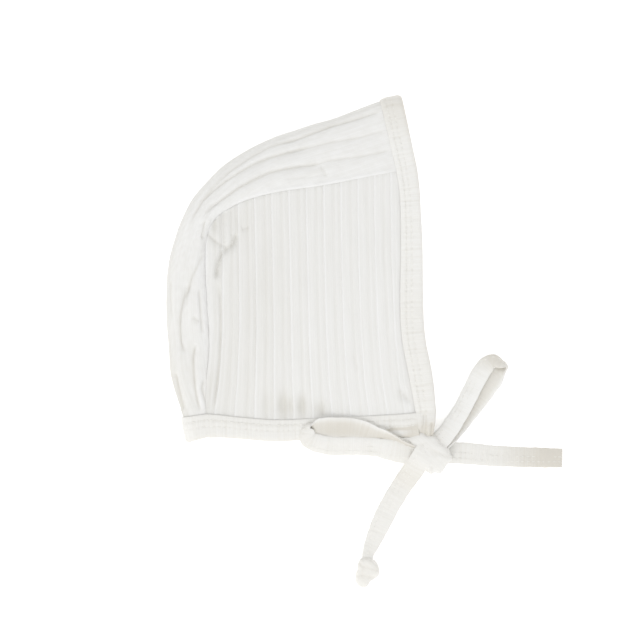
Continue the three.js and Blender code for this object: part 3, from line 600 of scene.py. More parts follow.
def panel_grid(columns, v):
    """Points of a panel's grid whose columns follow the ribs."""
    fine = np.linspace(0, 1, 240)
    rows = []
    for value in v:
        place = rib_place(panel_surface(fine, np.full_like(fine, value))) + 1
        first, last = 1.0, float(RIB_COUNT)
        u_first, u_last = np.interp([first, last], place, fine)
        u = np.interp(columns, place, fine)
        u = np.where(columns < first, u_first * columns, u)
        u = np.where(columns > last, u_last + (1 - u_last) * (columns - last), u)
        rows.append(u)
    u = np.array(rows)
    return u, panel_surface(u.ravel(), np.repeat(v, len(columns))).reshape(*u.shape, 3)


def tape_frames(rows, spacing):
    """Lengths along a tape, with its points, directions forward, across and up, widths and shades."""
    centre = np.array([(row.x, row.y, row.z) for row in rows])
    fine = np.linspace(0, len(rows) - 1, 40 * (len(rows) - 1) + 1)
    line = spline(centre, fine)
    length = lengths(line)
    s = np.linspace(0, length[-1], max(int(length[-1] / spacing), 4))
    at = np.interp(s, length, fine)
    points = spline(centre, at)
    forward = unit(np.gradient(points, axis=0))
    left = unit(np.cross(UP, forward))
    lean = np.radians(along(rows, "lean", at))[:, None]
    side = left * np.cos(lean) + np.cross(forward, left) * np.sin(lean)
    width, shade = along(rows, "width", at), along(rows, "shade", at)
    return s, points, forward, side, np.cross(forward, side), width, shade


def stitch_marks(s, across, sizes):
    """Depth in mm and painted shade of stitch rows, needle holes and rib lines across a tape."""
    pitch = sizes.stitch_pitch / MM
    first, second = sizes.stitch_row_first, sizes.stitch_row_second
    rows = bell(across - first, 0.045) + bell(across - second, 0.045)
    count = np.floor(s / pitch)
    from_hole = (s / pitch - count - 0.5) * pitch
    hole = bell(from_hole, 0.5) * (0.65 + 0.35 * np.sin(count * 2.3) * np.cos(count * 0.7))
    ladder = smoothstep((across - first + 0.04) / 0.05) * smoothstep((second + 0.04 - across) / 0.05) * hole
    wandering = s + 1.2 * np.sin(s * 0.31) + 0.25 * np.sin(across * 5.0 + s * 0.2)
    rib = sizes.rib_pitch / MM
    from_rib = (np.mod(wandering / rib, 1.0) - 0.5) * rib
    line = bell(from_rib, 0.4)
    depth = 0.10 * rows + 0.24 * rows * hole + 0.10 * ladder + 0.14 * line
    return depth, 0.22 * rows * hole + 0.08 * ladder + 0.12 * line


def binding_outline(width, stand_off):
    """Outline of a folded binding from its inner edge: side and up. The last points are its slot."""
    half = SLOT / 2
    bend = np.linspace(math.pi / 2, -math.pi / 2, 15)
    edge = WALL / 2 + stand_off
    lip = [(0.2, edge), (0.0, edge + 0.12), (0.12, edge + 0.38), (0.9, half + 0.6), (2.4, half + 0.9),
           (4.4, BINDING_HALF)]
    fold = [(width - 2.3 + 2.3 * math.cos(a), BINDING_HALF * math.sin(a)) for a in bend]
    line = np.array([*lip, *fold, *((side, -up) for side, up in reversed(lip))])
    steps = lengths(line)
    shares = np.linspace(0, steps[-1], OUTLINE_POINTS)
    outer = np.stack([np.interp(shares, steps, line[:, axis]) for axis in range(2)], axis=-1)
    mouth, end = width * 0.5, width - 1.6
    slot = [(mouth, -half), (end, -half), (end + 0.3, 0.0), (end, half), (mouth, half)]
    return np.array([*outer, *slot])


def crown_end(row, end_row, widths):
    """Stations of a binding around the fold of the crown strip at one of its ends."""
    across = np.linspace(1, -1, 61)
    points, normals, _ = crown_surface(np.full(61, float(row)), across)
    ends, _, _ = crown_surface(np.full(61, float(end_row)), across)
    side = ends - points
    side[:, 2] = 0
    width = widths[0] + (widths[1] - widths[0]) * np.abs(across)
    return points - normals * WALL / 2, unit(side) * width[:, None], normals


def binding_layer(rows, edge, start_at, upper):
    """Stations of a binding along one layer, from its free end to the crown strip."""
    share = start_at * (1 - np.linspace(0, 1, 70)[:-1])
    points = evenly(edge, share)
    points[:, 2] = points[:, 2] - WALL / 2 if upper else BINDING_HALF
    side = across_binding(rows, share * (len(rows) - 1))
    up = np.zeros_like(points)
    up[:, 2] = 1 if upper else -1
    return points, side, up


def tie_stations(upper):
    """Stations where the face binding leaves the cloth for the knot."""
    points = np.array([(row.inner_x, row.inner_y, row.top - WALL / 2) for row in TIE_START])
    if not upper:
        points[:, 2] = BINDING_HALF
    side = across_binding(TIE_START, np.arange(2))
    up = np.zeros_like(points)
    up[:, 2] = 1 if upper else -1
    return points, side, up


def binding_stations(rows, edge, fold, start_at, tie):
    """All stations of a binding in order: upper layer, fold, lower layer."""
    parts = [binding_layer(rows, edge, start_at, True), fold]
    parts.append(tuple(values[::-1] for values in binding_layer(rows, edge, start_at, False)))
    if tie:
        parts.insert(0, tie_stations(True))
        parts.append(tuple(values[::-1] for values in tie_stations(False)))
    return [np.concatenate([part[index] for part in parts]) for index in range(3)]


def binding_frames(stations, spacing):
    """Evenly spaced frames along a binding."""
    points, side, up = stations
    middle = points + side / 2
    steps = np.linalg.norm(np.diff(middle, axis=0), axis=1)
    keep = np.concatenate([[True], steps > 1e-4])
    points, side, up, middle = points[keep], side[keep], up[keep], middle[keep]
    length = lengths(middle)
    s = np.arange(0, length[-1], spacing)
    at = np.interp(s, length, np.arange(len(length)))
    place, across, upward = spline(points, at), spline(side, at), spline(up, at)
    width = np.linalg.norm(across, axis=1)
    return s, place, unit(across), unit(upward), width


def binding_mesh(frames, sizes, creases, darkness, edge_shade):
    """A folded binding swept along its frames, with its stitching pressed into both leaves.

    darkness is the painted shade in the creases' bottoms, edge_shade the painted shade along the outer
    edge.
    """
    s, place, across, up, width = frames
    # the binding lies closer on the crown strip than on the side panels
    stand_off = 0.3 - 0.34 * smoothstep((place[:, 1] - 44) / 10)
    rings = np.array([binding_outline(*values) for values in zip(width, stand_off)])
    x, y = rings[..., 0], rings[..., 1]
    points = place[:, None] + across[:, None] * x[..., None]
    outside = smoothstep((np.abs(y) - SLOT / 2 - 0.3) / 0.7)
    depth, dark = stitch_marks(s[:, None] * np.ones_like(x), x / width[:, None], sizes)
    folds, bottoms = crease_depth(points[..., :2], creases)
    above = y * up[:, None, 2] > 0
    depth = depth + 0.10 * ripple(points, 5.0, 11) + np.where(above, folds, 0)
    to_knot = np.linalg.norm(points[..., :2] - from_photo(KNOT_MIDDLE), axis=-1)
    # painted shade beside the knot, which shades the binding, and where the binding turns away from the
    # light around the crown strip's fold, with a little painted light higher up the face edge
    knot_shade = smoothstep((18.0 - to_knot) / 6)
    turned = smoothstep((points[..., 1] - 68) / 24) - 0.25 * smoothstep((points[..., 1] + 15) / 30)
    # painted shade of the stitching and the creases' bottoms, then beside the knot and around the fold
    shadow = dark + np.where(above, darkness * bottoms, 0)
    tones = BINDING_TONE - outside * shadow - 0.6 * knot_shade - 0.4 * turned
    # painted shade along the outer edge, more toward the top
    upper = smoothstep((points[..., 1] - 30) / 30)
    tones -= (edge_shade + 0.15 * upper) * smoothstep((x / width[:, None] - 0.78) / 0.22)
    y = y - np.sign(y) * outside * depth
    points = points + up[:, None] * y[..., None]
    around = np.linalg.norm(np.diff(np.concatenate([rings, rings[:, :1]], axis=1), axis=1), axis=-1)
    around = np.concatenate([np.zeros((len(s), 1)), np.cumsum(around, axis=1)], axis=1)
    uvs = np.stack([s[:, None] * np.ones_like(around), around], axis=-1)
    return tube_mesh(points, uvs, tones)


def stitches_mesh(frames, height, rows, pitch, start=0.0, stop=0.0):
    """Stitches lying in rows along frames of places, directions across and up, and widths."""
    s, place, across, up, width = frames
    bm = bmesh.new()
    forward = unit(np.gradient(place + across * (width / 2)[:, None], axis=0))
    for row in rows:
        for middle in np.arange(start + pitch, s[-1] - stop, pitch):
            i = min(int(np.searchsorted(s, middle)), len(s) - 1)
            centre = place[i] + across[i] * width[i] * row + up[i] * height
            if centre[2] < 0.2:
                continue
            axes = [forward[i] * 0.36 * pitch, across[i] * 0.22, up[i] * 0.15]
            shape = np.eye(4)
            shape[:3] = np.stack([*axes, centre], axis=1) * MM
            bmesh.ops.create_uvsphere(bm, u_segments=6, v_segments=4, radius=1, matrix=Matrix(shape))
    bmesh.ops.recalc_face_normals(bm, faces=bm.faces)
    for face in bm.faces:
        face.smooth = True
    return bm


def knot_mesh(outline, middle, level, top, creases, seed, painted_light):
    """A flat-topped knot with an outline of photograph pixels, creased on its upper side.

    painted_light is its painted light away from the creases, whose bottoms get painted shade.
    """
    bm = bmesh.new()
    layer = bm.loops.layers.uv.new("UVMap")
    tone = bm.verts.layers.float.new("tone")
    bmesh.ops.create_icosphere(bm, subdivisions=6, radius=1)
    verts = list(bm.verts)
    ball = unit(np.array([vert.co[:] for vert in verts]))
    sine = np.clip(np.abs(ball[:, 2]), 0, 1)
    angle = np.arctan2(ball[:, 1], ball[:, 0])
    centre = from_photo(middle)
    corners = from_photo(outline) - centre
    corner_angle = np.arctan2(corners[:, 1], corners[:, 0])
    order = np.argsort(corner_angle)
    reach = np.linalg.norm(corners, axis=1)
    radius = np.mean([np.interp(angle + turn, corner_angle[order], reach[order], period=2 * math.pi)
                      for turn in (-0.07, -0.03, 0.0, 0.03, 0.07)], axis=0)
    radius = radius * np.sqrt(1 - sine**2) ** 0.42
    side = np.stack([np.cos(angle), np.sin(angle)], axis=-1)
    points = np.concatenate([centre + side * radius[:, None], np.zeros((len(verts), 1))], axis=1)
    rise = np.where(ball[:, 2] > 0, top - level, -level)
    points[:, 2] = level + rise * sine**0.75
    above = smoothstep((points[:, 2] - level) / (top - level) / 0.5)
    folds, bottoms = crease_depth(points[:, :2], creases)
    points[:, 2] -= above * folds
    points += ball * (0.18 * ripple(points, 4.0, seed))[:, None]
    points[:, 2] = np.maximum(points[:, 2], 0)
    # painted shade in the creases' bottoms
    for vert, point, value in zip(verts, points, painted_light - 0.3 * above * bottoms):
        vert.co = point * MM
        vert[tone] = value
    for face in bm.faces:
        face.smooth = True
        for loop in face.loops:
            x, y, _ = loop.vert.co / MM
            loop[layer].uv = ((x + y) * 0.7071 / UV_SPAN, (y - x) * 0.7071 / UV_SPAN)
    return bm


def frayed_mesh(ends, seed):
    """Short loose fibres: each row is a start, a direction and a length in mm."""
    bm = bmesh.new()
    for index, (start, way, length) in enumerate(ends):
        point = np.array(start, dtype=float)
        way = unit(np.array(way, dtype=float))
        for step in range(3):
            jitter = noise.noise_vector(Vector((index * 1.7, step * 2.3, seed)))
            bent = unit(way + np.array(jitter) * 0.5)
            span = length / 3
            middle = point + bent * span / 2
            turn = Vector(bent).to_track_quat("Z", "Y").to_matrix().to_4x4()
            matrix = Matrix.Translation(Vector(middle) * MM) @ turn
            bmesh.ops.create_cone(
                bm, cap_ends=True, segments=5, radius1=(0.13 - 0.03 * step) * MM,
                radius2=(0.10 - 0.03 * step) * MM, depth=span * 1.1 * MM, matrix=matrix,
            )
            point = point + bent * span
    for face in bm.faces:
        face.smooth = True
    return bm


def add(tree, kind, settings=None, links=None):
    """A shader node with its settings, its sockets' values, and outputs linked to its sockets."""
    node = tree.nodes.new(kind)
    for name, value in (settings or {}).items():
        if isinstance(name, str) and hasattr(node, name):
            setattr(node, name, value)
        else:
            node.inputs[name].default_value = value
    for name, output in (links or {}).items():
        tree.links.new(output, node.inputs[name])
    return node


def new_material(name):
    material = bpy.data.materials.new(name)
    material.use_nodes = True
    material.node_tree.nodes.clear()
    return material, material.node_tree


def knit_material(name, lit, painted_shade, wale, course, relief, through):
    """Cotton jersey from ring-spun yarn: matt, in columns of small V loops, letting some light through."""
    material, tree = new_material(name)
    uv = add(tree, "ShaderNodeUVMap", {"uv_map": "UVMap"})
    scaled = add(tree, "ShaderNodeVectorMath",
                 {"operation": "MULTIPLY", 1: (UV_SPAN / wale, UV_SPAN / course, 0)},
                 {0: uv.outputs[0]})
    parts = add(tree, "ShaderNodeSeparateXYZ", links={0: scaled.outputs[0]})
    # a V loop: from the middle of its column outward, the legs lean up the course
    middle = add(tree, "ShaderNodeMath", {"operation": "PINGPONG", 1: 0.5}, {0: parts.outputs[0]})
    leg = add(tree, "ShaderNodeMath", {"operation": "MULTIPLY_ADD", 1: 1.3},
              {0: middle.outputs[0], 2: parts.outputs[1]})
    loop = add(tree, "ShaderNodeMath", {"operation": "PINGPONG", 1: 0.5}, {0: leg.outputs[0]})
    knit = add(tree, "ShaderNodeMath", {"operation": "MULTIPLY_ADD", 1: 0.8},
               {0: loop.outputs[0], 2: middle.outputs[0]})
    # columns differ a little from each other along their whole length
    stretched = add(tree, "ShaderNodeVectorMath", {"operation": "MULTIPLY", 1: (1.0, 0.03, 0)},
                    {0: scaled.outputs[0]})
    columns = add(tree, "ShaderNodeTexNoise", {"noise_dimensions": "2D", "Scale": 0.9, "Detail": 2.0},
                  {"Vector": stretched.outputs[0]})
    place = add(tree, "ShaderNodeTexCoord")
    fuzz = add(tree, "ShaderNodeTexNoise", {"Scale": 1800.0, "Detail": 2.0, "Roughness": 0.7},
               {"Vector": place.outputs["Object"]})
    height = add(tree, "ShaderNodeMath", {"operation": "MULTIPLY_ADD", 1: 0.5},
                 {0: fuzz.outputs[0], 2: knit.outputs[0]})
    bump = add(tree, "ShaderNodeBump", {"Strength": 0.4, "Distance": relief * MM},
               {"Height": height.outputs[0]})
    # painted light from the tone attribute, with painted shade between the knit's loops and random tone
    # along its columns, mixes the colour from the painted-shade colour to the lit one
    painted_light = add(tree, "ShaderNodeAttribute", {"attribute_name": "tone"})
    uneven = add(tree, "ShaderNodeMath", {"operation": "MULTIPLY_ADD", 1: 0.30, 2: -0.15},
                 {0: columns.outputs[0]})
    woven = add(tree, "ShaderNodeMath", {"operation": "MULTIPLY_ADD", 1: 0.12},
                {0: knit.outputs[0], 2: uneven.outputs[0]})
    tone = add(tree, "ShaderNodeMath", {"operation": "ADD", "use_clamp": True},
               {0: painted_light.outputs["Fac"], 1: woven.outputs[0]})
    colour = add(tree, "ShaderNodeMix", {"data_type": "RGBA", 6: (*painted_shade, 1), 7: (*lit, 1)},
                 {0: tone.outputs[0]})
    cloth = add(
        tree, "ShaderNodeBsdfPrincipled",
        {"Roughness": 0.92, "Specular IOR Level": 0.2, "Sheen Weight": 0.1, "Sheen Roughness": 0.5},
        {"Base Color": colour.outputs[2], "Normal": bump.outputs[0]},
    )
    glow = add(tree, "ShaderNodeBsdfTranslucent",
               links={"Color": colour.outputs[2], "Normal": bump.outputs[0]})
    shader = add(tree, "ShaderNodeMixShader", {0: through}, {1: cloth.outputs[0], 2: glow.outputs[0]})
    add(tree, "ShaderNodeOutputMaterial", links={"Surface": shader.outputs[0]})
    return material


def thread_material(name, lit):
    """Spun sewing thread: a little glossier than the knit, with its plies twisted."""
    material, tree = new_material(name)
    place = add(tree, "ShaderNodeTexCoord")
    twist = add(tree, "ShaderNodeTexWave", {"Scale": 900.0, "Distortion": 1.0, "Detail": 1.0},
                {"Vector": place.outputs["Object"]})
    bump = add(tree, "ShaderNodeBump", {"Strength": 0.5, "Distance": 0.05 * MM},
               {"Height": twist.outputs[1]})
    colour = add(tree, "ShaderNodeMix", {"data_type": "RGBA"}, {"Factor": twist.outputs[1]})
    colour.inputs[6].default_value = (*[part * 0.94 for part in lit], 1)
    colour.inputs[7].default_value = (*lit, 1)
    shader = add(
        tree, "ShaderNodeBsdfPrincipled",
        {"Roughness": 0.7, "Specular IOR Level": 0.35, "Sheen Weight": 0.1},
        {"Base Color": colour.outputs[2], "Normal": bump.outputs[0]},
    )
    add(tree, "ShaderNodeOutputMaterial", links={"Surface": shader.outputs[0]})
    return material


def paper_material(name, colour, glow):
    """Matt seamless paper with a faint tooth, lit from behind as on a light table."""
    material, tree = new_material(name)
    place = add(tree, "ShaderNodeTexCoord")
    tooth = add(tree, "ShaderNodeTexNoise", {"Scale": 900.0, "Detail": 2.0},
                {"Vector": place.outputs["Object"]})
    bump = add(tree, "ShaderNodeBump", {"Strength": 0.05, "Distance": 0.05 * MM},
               {"Height": tooth.outputs[0]})
    shader = add(
        tree, "ShaderNodeBsdfPrincipled",
        {"Roughness": 0.95, "Specular IOR Level": 0.2, "Base Color": (*colour, 1),
         "Emission Color": (*colour, 1), "Emission Strength": glow},
        {"Normal": bump.outputs[0]},
    )
    add(tree, "ShaderNodeOutputMaterial", links={"Surface": shader.outputs[0]})
    return material


def material_of(name):
    """One of the bonnet's materials, made when it is first asked for."""
    made = bpy.data.materials.get(name)
    if made:
        return made
    sizes = bpy.context.scene.bonnet_sizes
    colours = bpy.context.scene.bonnet_colours
    wale, course = sizes.wale_pitch / MM, sizes.course_pitch / MM
    if name == "rib_knit_cotton":
        return knit_material(name, colours.knit, colours.knit_painted_shade, wale, course, 0.14, 0.12)
    if name == "binding_knit_cotton":
        return knit_material(name, colours.binding, colours.binding_painted_shade, wale, course, 0.08, 0.12)
    if name == "sewing_thread":
        return thread_material(name, colours.thread)
    return paper_material(name, colours.floor, bpy.context.scene.bonnet_studio.floor_glow)


def strip_piece():
    """The crown strip as one sheet folded over, with its seam edges turned in."""
    at = np.concatenate([np.linspace(0, 1, 8)[:-1], np.linspace(1, 13, 236), np.linspace(13, 14, 8)[1:]])
    near_seam = 1 - np.array([0.06, 0.05, 0.041, 0.032, 0.024, 0.016, 0.01, 0.005, 0.002, 0])
    across = np.concatenate([-np.linspace(0, 1, 40)[:0:-1], np.linspace(0, 0.93, 96), near_seam])
    points, normals, cloth = crown_surface(*np.meshgrid(at, across, indexing="ij"))
    above = smoothstep((points[..., 2] - 6) / 6)
    folds, bottoms = crease_depth(points[..., :2], CROWN_CREASES)
    depth = above * folds
    grooves = np.mod(np.abs(cloth) / RIB_PITCH + 0.1, 1.0)
    depth += (1 - above) * 0.5 * bell(grooves - 0.5, 0.18)
    inside = smoothstep(np.minimum(at - 1, 13 - at) * 4)[:, None]
    # the seam stands open behind the head, and its edge stands up as a lip in front
    open_seam = (smoothstep((at - 7.9) / 0.6) * smoothstep((12.3 - at) / 0.6))[:, None]
    seam_off = np.abs(cloth[:, -1:]) - np.abs(cloth)
    behind = smoothstep((at - 8.0) / 1.0)[:, None]
    pucker = (0.05 + 0.06 * behind) * bell(seam_off, 3.5) * (1 + ripple(points, 3.5, 2))
    depth = depth * (0.25 + 0.75 * inside) + inside * (pucker + 0.12 * ripple(points, 9.0, 1))
    in_front = np.where(cloth > 0, 1 - smoothstep((at - 5.6) / 0.9)[:, None], 0)
    lip = in_front * inside * 0.35 * bell(seam_off - 0.9, 0.8)
    groove = open_seam * 0.2 * bell(seam_off, 0.6)
    points = points - normals * (depth - lip + groove)[..., None]
    low = smoothstep((at - 10.3) / 1.5)[:, None]
    by_fold = 1 - smoothstep((np.abs(cloth) - 3) / 7)
    beside = behind * bell(seam_off - 2, 3.5)
    # painted shade in the creases' bottoms and along the fold, darker toward the nape and behind the head;
    # painted light beside the back seam and on the lip; the ripple is random tone
    tones = 0.74 - 0.45 * above * bottoms * inside - 0.15 * low - 0.1 * behind - 0.28 * by_fold
    tones = tones + 0.2 * beside + 0.5 * lip + 0.06 * ripple(points * (0.2, 0.2, 1), 0.6, 4)
    # the seam edges turned in: back from the edge and down into the seam
    turned = [(0.05, 0.35), (0.0, 1.1), (0.0, 2.2)]
    over, under = points[:, -1], points[:, 0]
    out = outward_at(at)
    over = np.stack([over - out * back - normals[:, -1] * drop for back, drop in turned], axis=1)
    under = np.stack([under - out * back - normals[:, 0] * drop for back, drop in turned[::-1]], axis=1)
    points = np.concatenate([under, points, over], axis=1)
    tones = np.pad(tones, ((0, 0), (3, 3)), mode="edge")
    spare = np.array([drop for _, drop in turned])
    cloth = np.concatenate([cloth[:, :1] - spare[::-1], cloth, cloth[:, -1:] + spare], axis=1)
    points[..., 2] = np.maximum(points[..., 2], 0.0)
    middle = points[:, points.shape[1] // 2]
    length = lengths(middle)
    uvs = np.stack([cloth, length[:, None] * np.ones_like(cloth)], axis=-1)
    bm = grid_mesh(points, uvs, tones)
    bm.normal_update()
    top = max(bm.faces, key=lambda face: face.calc_center_median().z)
    if top.normal.z < 0:
        bmesh.ops.reverse_faces(bm, faces=bm.faces)
    return bm


class BonnetSizes(bpy.types.PropertyGroup):
    rib_pitch: bpy.props.FloatProperty(
        name="Rib pitch", description="Distance between two raised rib edges",
        default=RIB_PITCH * MM, unit="LENGTH")
    rib_depth: bpy.props.FloatProperty(
        name="Rib depth", description="Share of the measured rib depth", default=1.0, min=0, max=2)
    wale_pitch: bpy.props.FloatProperty(
        name="Wale pitch", description="Distance between two columns of loops",
        default=1.1 * MM, unit="LENGTH")
    course_pitch: bpy.props.FloatProperty(
        name="Course pitch", description="Distance between two rows of loops",
        default=0.9 * MM, unit="LENGTH")
    stitch_pitch: bpy.props.FloatProperty(
        name="Stitch pitch", description="Length of one coverstitch", default=2.65 * MM, unit="LENGTH")
    stitch_row_first: bpy.props.FloatProperty(
        name="First stitch row", description="Share of a binding's width from its inner edge",
        default=0.25, subtype="FACTOR", min=0, max=1)
    stitch_row_second: bpy.props.FloatProperty(
        name="Second stitch row", description="Share of a binding's width from its inner edge",
        default=0.51, subtype="FACTOR", min=0, max=1)


class BonnetColours(bpy.types.PropertyGroup):
    # knit and binding are the cloth's colours under full painted light, painted highlights included
    knit: bpy.props.FloatVectorProperty(
        name="Knit", description="Ivory cotton where its loops stand open",
        # painted shade colour of the rib knit, for rib valleys, creases, hollows and cast shadows
        default=linear("#F5F5F4"), subtype="COLOR")
    knit_painted_shade: bpy.props.FloatVectorProperty(
        name="Knit depths", description="The same deep between the loops",
        default=linear("#DDDBD4"), subtype="COLOR")
    binding: bpy.props.FloatVectorProperty(
        name="Binding", description="Cotton of the bindings and ties",
        default=linear("#F6F6F4"), subtype="COLOR")
    # painted shade colour of the bindings and ties, for needle holes, creases and cast shadows
    binding_painted_shade: bpy.props.FloatVectorProperty(
        name="Binding depths", description="The same in needle holes and creases",
        default=linear("#E0DCD3"),
        subtype="COLOR")
    thread: bpy.props.FloatVectorProperty(
        name="Thread", description="Sewing thread", default=linear("#F1F0EB"), subtype="COLOR")
    floor: bpy.props.FloatVectorProperty(
        name="Floor", description="Seamless paper", default=linear("#FBFBFB"), subtype="COLOR")


class BonnetStudio(bpy.types.PropertyGroup):
    lens: bpy.props.FloatProperty(
        name="Lens", description="Focal length in mm", default=200.0, min=50)
    key_power: bpy.props.FloatProperty(
        name="Key light", description="Power of the large light at the lower left",
        default=4.6, unit="POWER")
    sky: bpy.props.FloatProperty(
        name="Fill", description="Strength of the even light from all round", default=0.90, min=0)
    floor_glow: bpy.props.FloatProperty(
        name="Floor glow", description="Light of the paper itself, which is lit from behind",
        default=0.38, min=0)


class BONNET_OT_camera(bpy.types.Operator):
    """Camera straight above the table, at the photograph's scale"""
    bl_idname = "bonnet.camera"
    bl_label = "Camera"

    def execute(self, context):
        lens = context.scene.bonnet_studio.lens
        data = bpy.data.cameras.new("camera")
        data.lens = lens
        data.sensor_width = 36
        camera = bpy.data.objects.new("camera", data)
        context.scene.collection.objects.link(camera)
        centre = from_photo((PHOTO_CENTRE, PHOTO_CENTRE))
        distance = PHOTO_WIDTH * PIXEL * lens / data.sensor_width
        camera.location = Vector((centre[0], centre[1], FOCUS_HEIGHT + distance)) * MM
        data.clip_end = 20
        context.scene.camera = camera
        return {"FINISHED"}


def tape_piece(rows, name, cup, face, lighter, rim, *nodes):
    """A coverstitched tape: cup bows its middle up in mm, face is the side its stitches lie on.

    lighter is painted light toward one edge, and rim a painted highlight along that edge of the unstitched
    side.
    """
    sizes = bpy.context.scene.bonnet_sizes
    s, line, _, side, up, width, shade = tape_frames(rows, TAPE_STEP)
    turn = np.linspace(0, 2 * math.pi, 53)[:-1]
    across = np.sign(np.cos(turn)) * np.abs(np.cos(turn)) ** 0.6 * np.ones_like(s)[:, None]
    over = np.sign(np.sin(turn)) * np.abs(np.sin(turn)) ** 0.7
    depth, dark = stitch_marks(s[:, None] * np.ones_like(across), (across + 1) / 2, sizes)
    # painted shade on the side away from the stitches, up to its rounded edges
    back = 0.6 * np.abs(over) * (0.5 + 0.5 * smoothstep((1 - np.abs(across)) / 0.6))
    # painted shade of the stitching, of the side away from the stitches and of each row's shade, and
    # painted light across toward one edge
    tones = BINDING_TONE - np.where(over * face > 0, 0.3 * dark, back) - shade[:, None] + lighter * across
    tones += np.where(over * face > 0, 0, rim * smoothstep((across - 0.3) / 0.4))
    depth = 0.5 * depth
    uneven = 0.015 * np.sin(s * 0.9 + 2 * np.sin(s * 0.23))[:, None]
    sideways = across * width[:, None] / 2 * (1 - 0.35 * depth + uneven)
    height = over * (TAPE_THICKNESS / 2 - depth) + cup * (1 - across**2)
    rings = line[:, None] + side[:, None] * sideways[..., None] + up[:, None] * height[..., None]
    wave = 0.2 * ripple(rings, 7.0, len(rows)) + 0.06 * ripple(rings, 2.2, 3)
    rings = rings + up[:, None] * wave[..., None]
    rings[..., 2] = np.maximum(rings[..., 2], 0.0)
    around = np.linspace(0, 1, rings.shape[1] + 1)[None] * (2 * width[:, None] + 3)
    uvs = np.stack([s[:, None] * np.ones_like(around), around], axis=-1)
    bm = tube_mesh(rings, uvs, tones)
    piece = finish_piece(bm, name, material_of("binding_knit_cotton"), *nodes)
    frames = (s, line - side * (width / 2)[:, None], side, up, width)
    rows_at = (sizes.stitch_row_first, sizes.stitch_row_second)
    thread_at = face * (TAPE_THICKNESS / 2 - 0.05) + cup * 0.8
    bm = stitches_mesh(frames, thread_at, rows_at, sizes.stitch_pitch / MM)
    stitches = finish_piece(bm, name + "_stitches", material_of("sewing_thread"))
    return piece, stitches, line * MM


class BONNET_OT_tails(bpy.types.Operator):
    """The two free ends of the ties, one cut and one knotted"""
    bl_idname = "bonnet.tails"
    bl_label = "Tie tails"

    def execute(self, context):
        tail, stitches, line = tape_piece(TAIL_RIGHT, "tail_cut", 0.2, 1, 0.02, 0.0, "tie_tail_right")
        _, points, forward, side, up, width, _ = tape_frames(TAIL_RIGHT, TAPE_STEP)
        ends = []
        for index in range(FRAY_FIBRES):
            share = index / (FRAY_FIBRES - 1) - 0.5
            start = points[-1] + side[-1] * width[-1] * share + up[-1] * (0.5 * math.sin(index * 2.4))
            spread = 0.35 * math.sin(index * 1.9)
            way = forward[-1] + side[-1] * spread + up[-1] * 0.3 * math.cos(index * 2.7)
            ends.append((start, way, 0.5 + 0.4 * math.sin(index * 3.3) ** 2))
        fray = finish_piece(frayed_mesh(ends, 4.0), "tail_cut_fray", material_of("sewing_thread"))
        bm = knot_mesh(
            END_KNOT, END_KNOT_MIDDLE, END_KNOT_LEVEL, END_KNOT_TOP, END_KNOT_CREASES, 5, END_KNOT_TONE,
        )
        knot = finish_piece(bm, "end_knot", material_of("binding_knit_cotton"), "tie_end_knot")
        tail, stitches, line = tape_piece(TAIL_DOWN, "tail_knotted", 0.2, 1, 0.0, 0.0, "tie_tail_down")
        return {"FINISHED"}


class BONNET_OT_crown(bpy.types.Operator):
    """The strip from the forehead over the head to the nape, folded on its middle line"""
    bl_idname = "bonnet.crown"
    bl_label = "Crown strip"

    def execute(self, context):
        bm = strip_piece()
        piece = finish_piece(bm, "crown_cloth", material_of("rib_knit_cotton"), "crown_strip", wall=WALL)
        return {"FINISHED"}


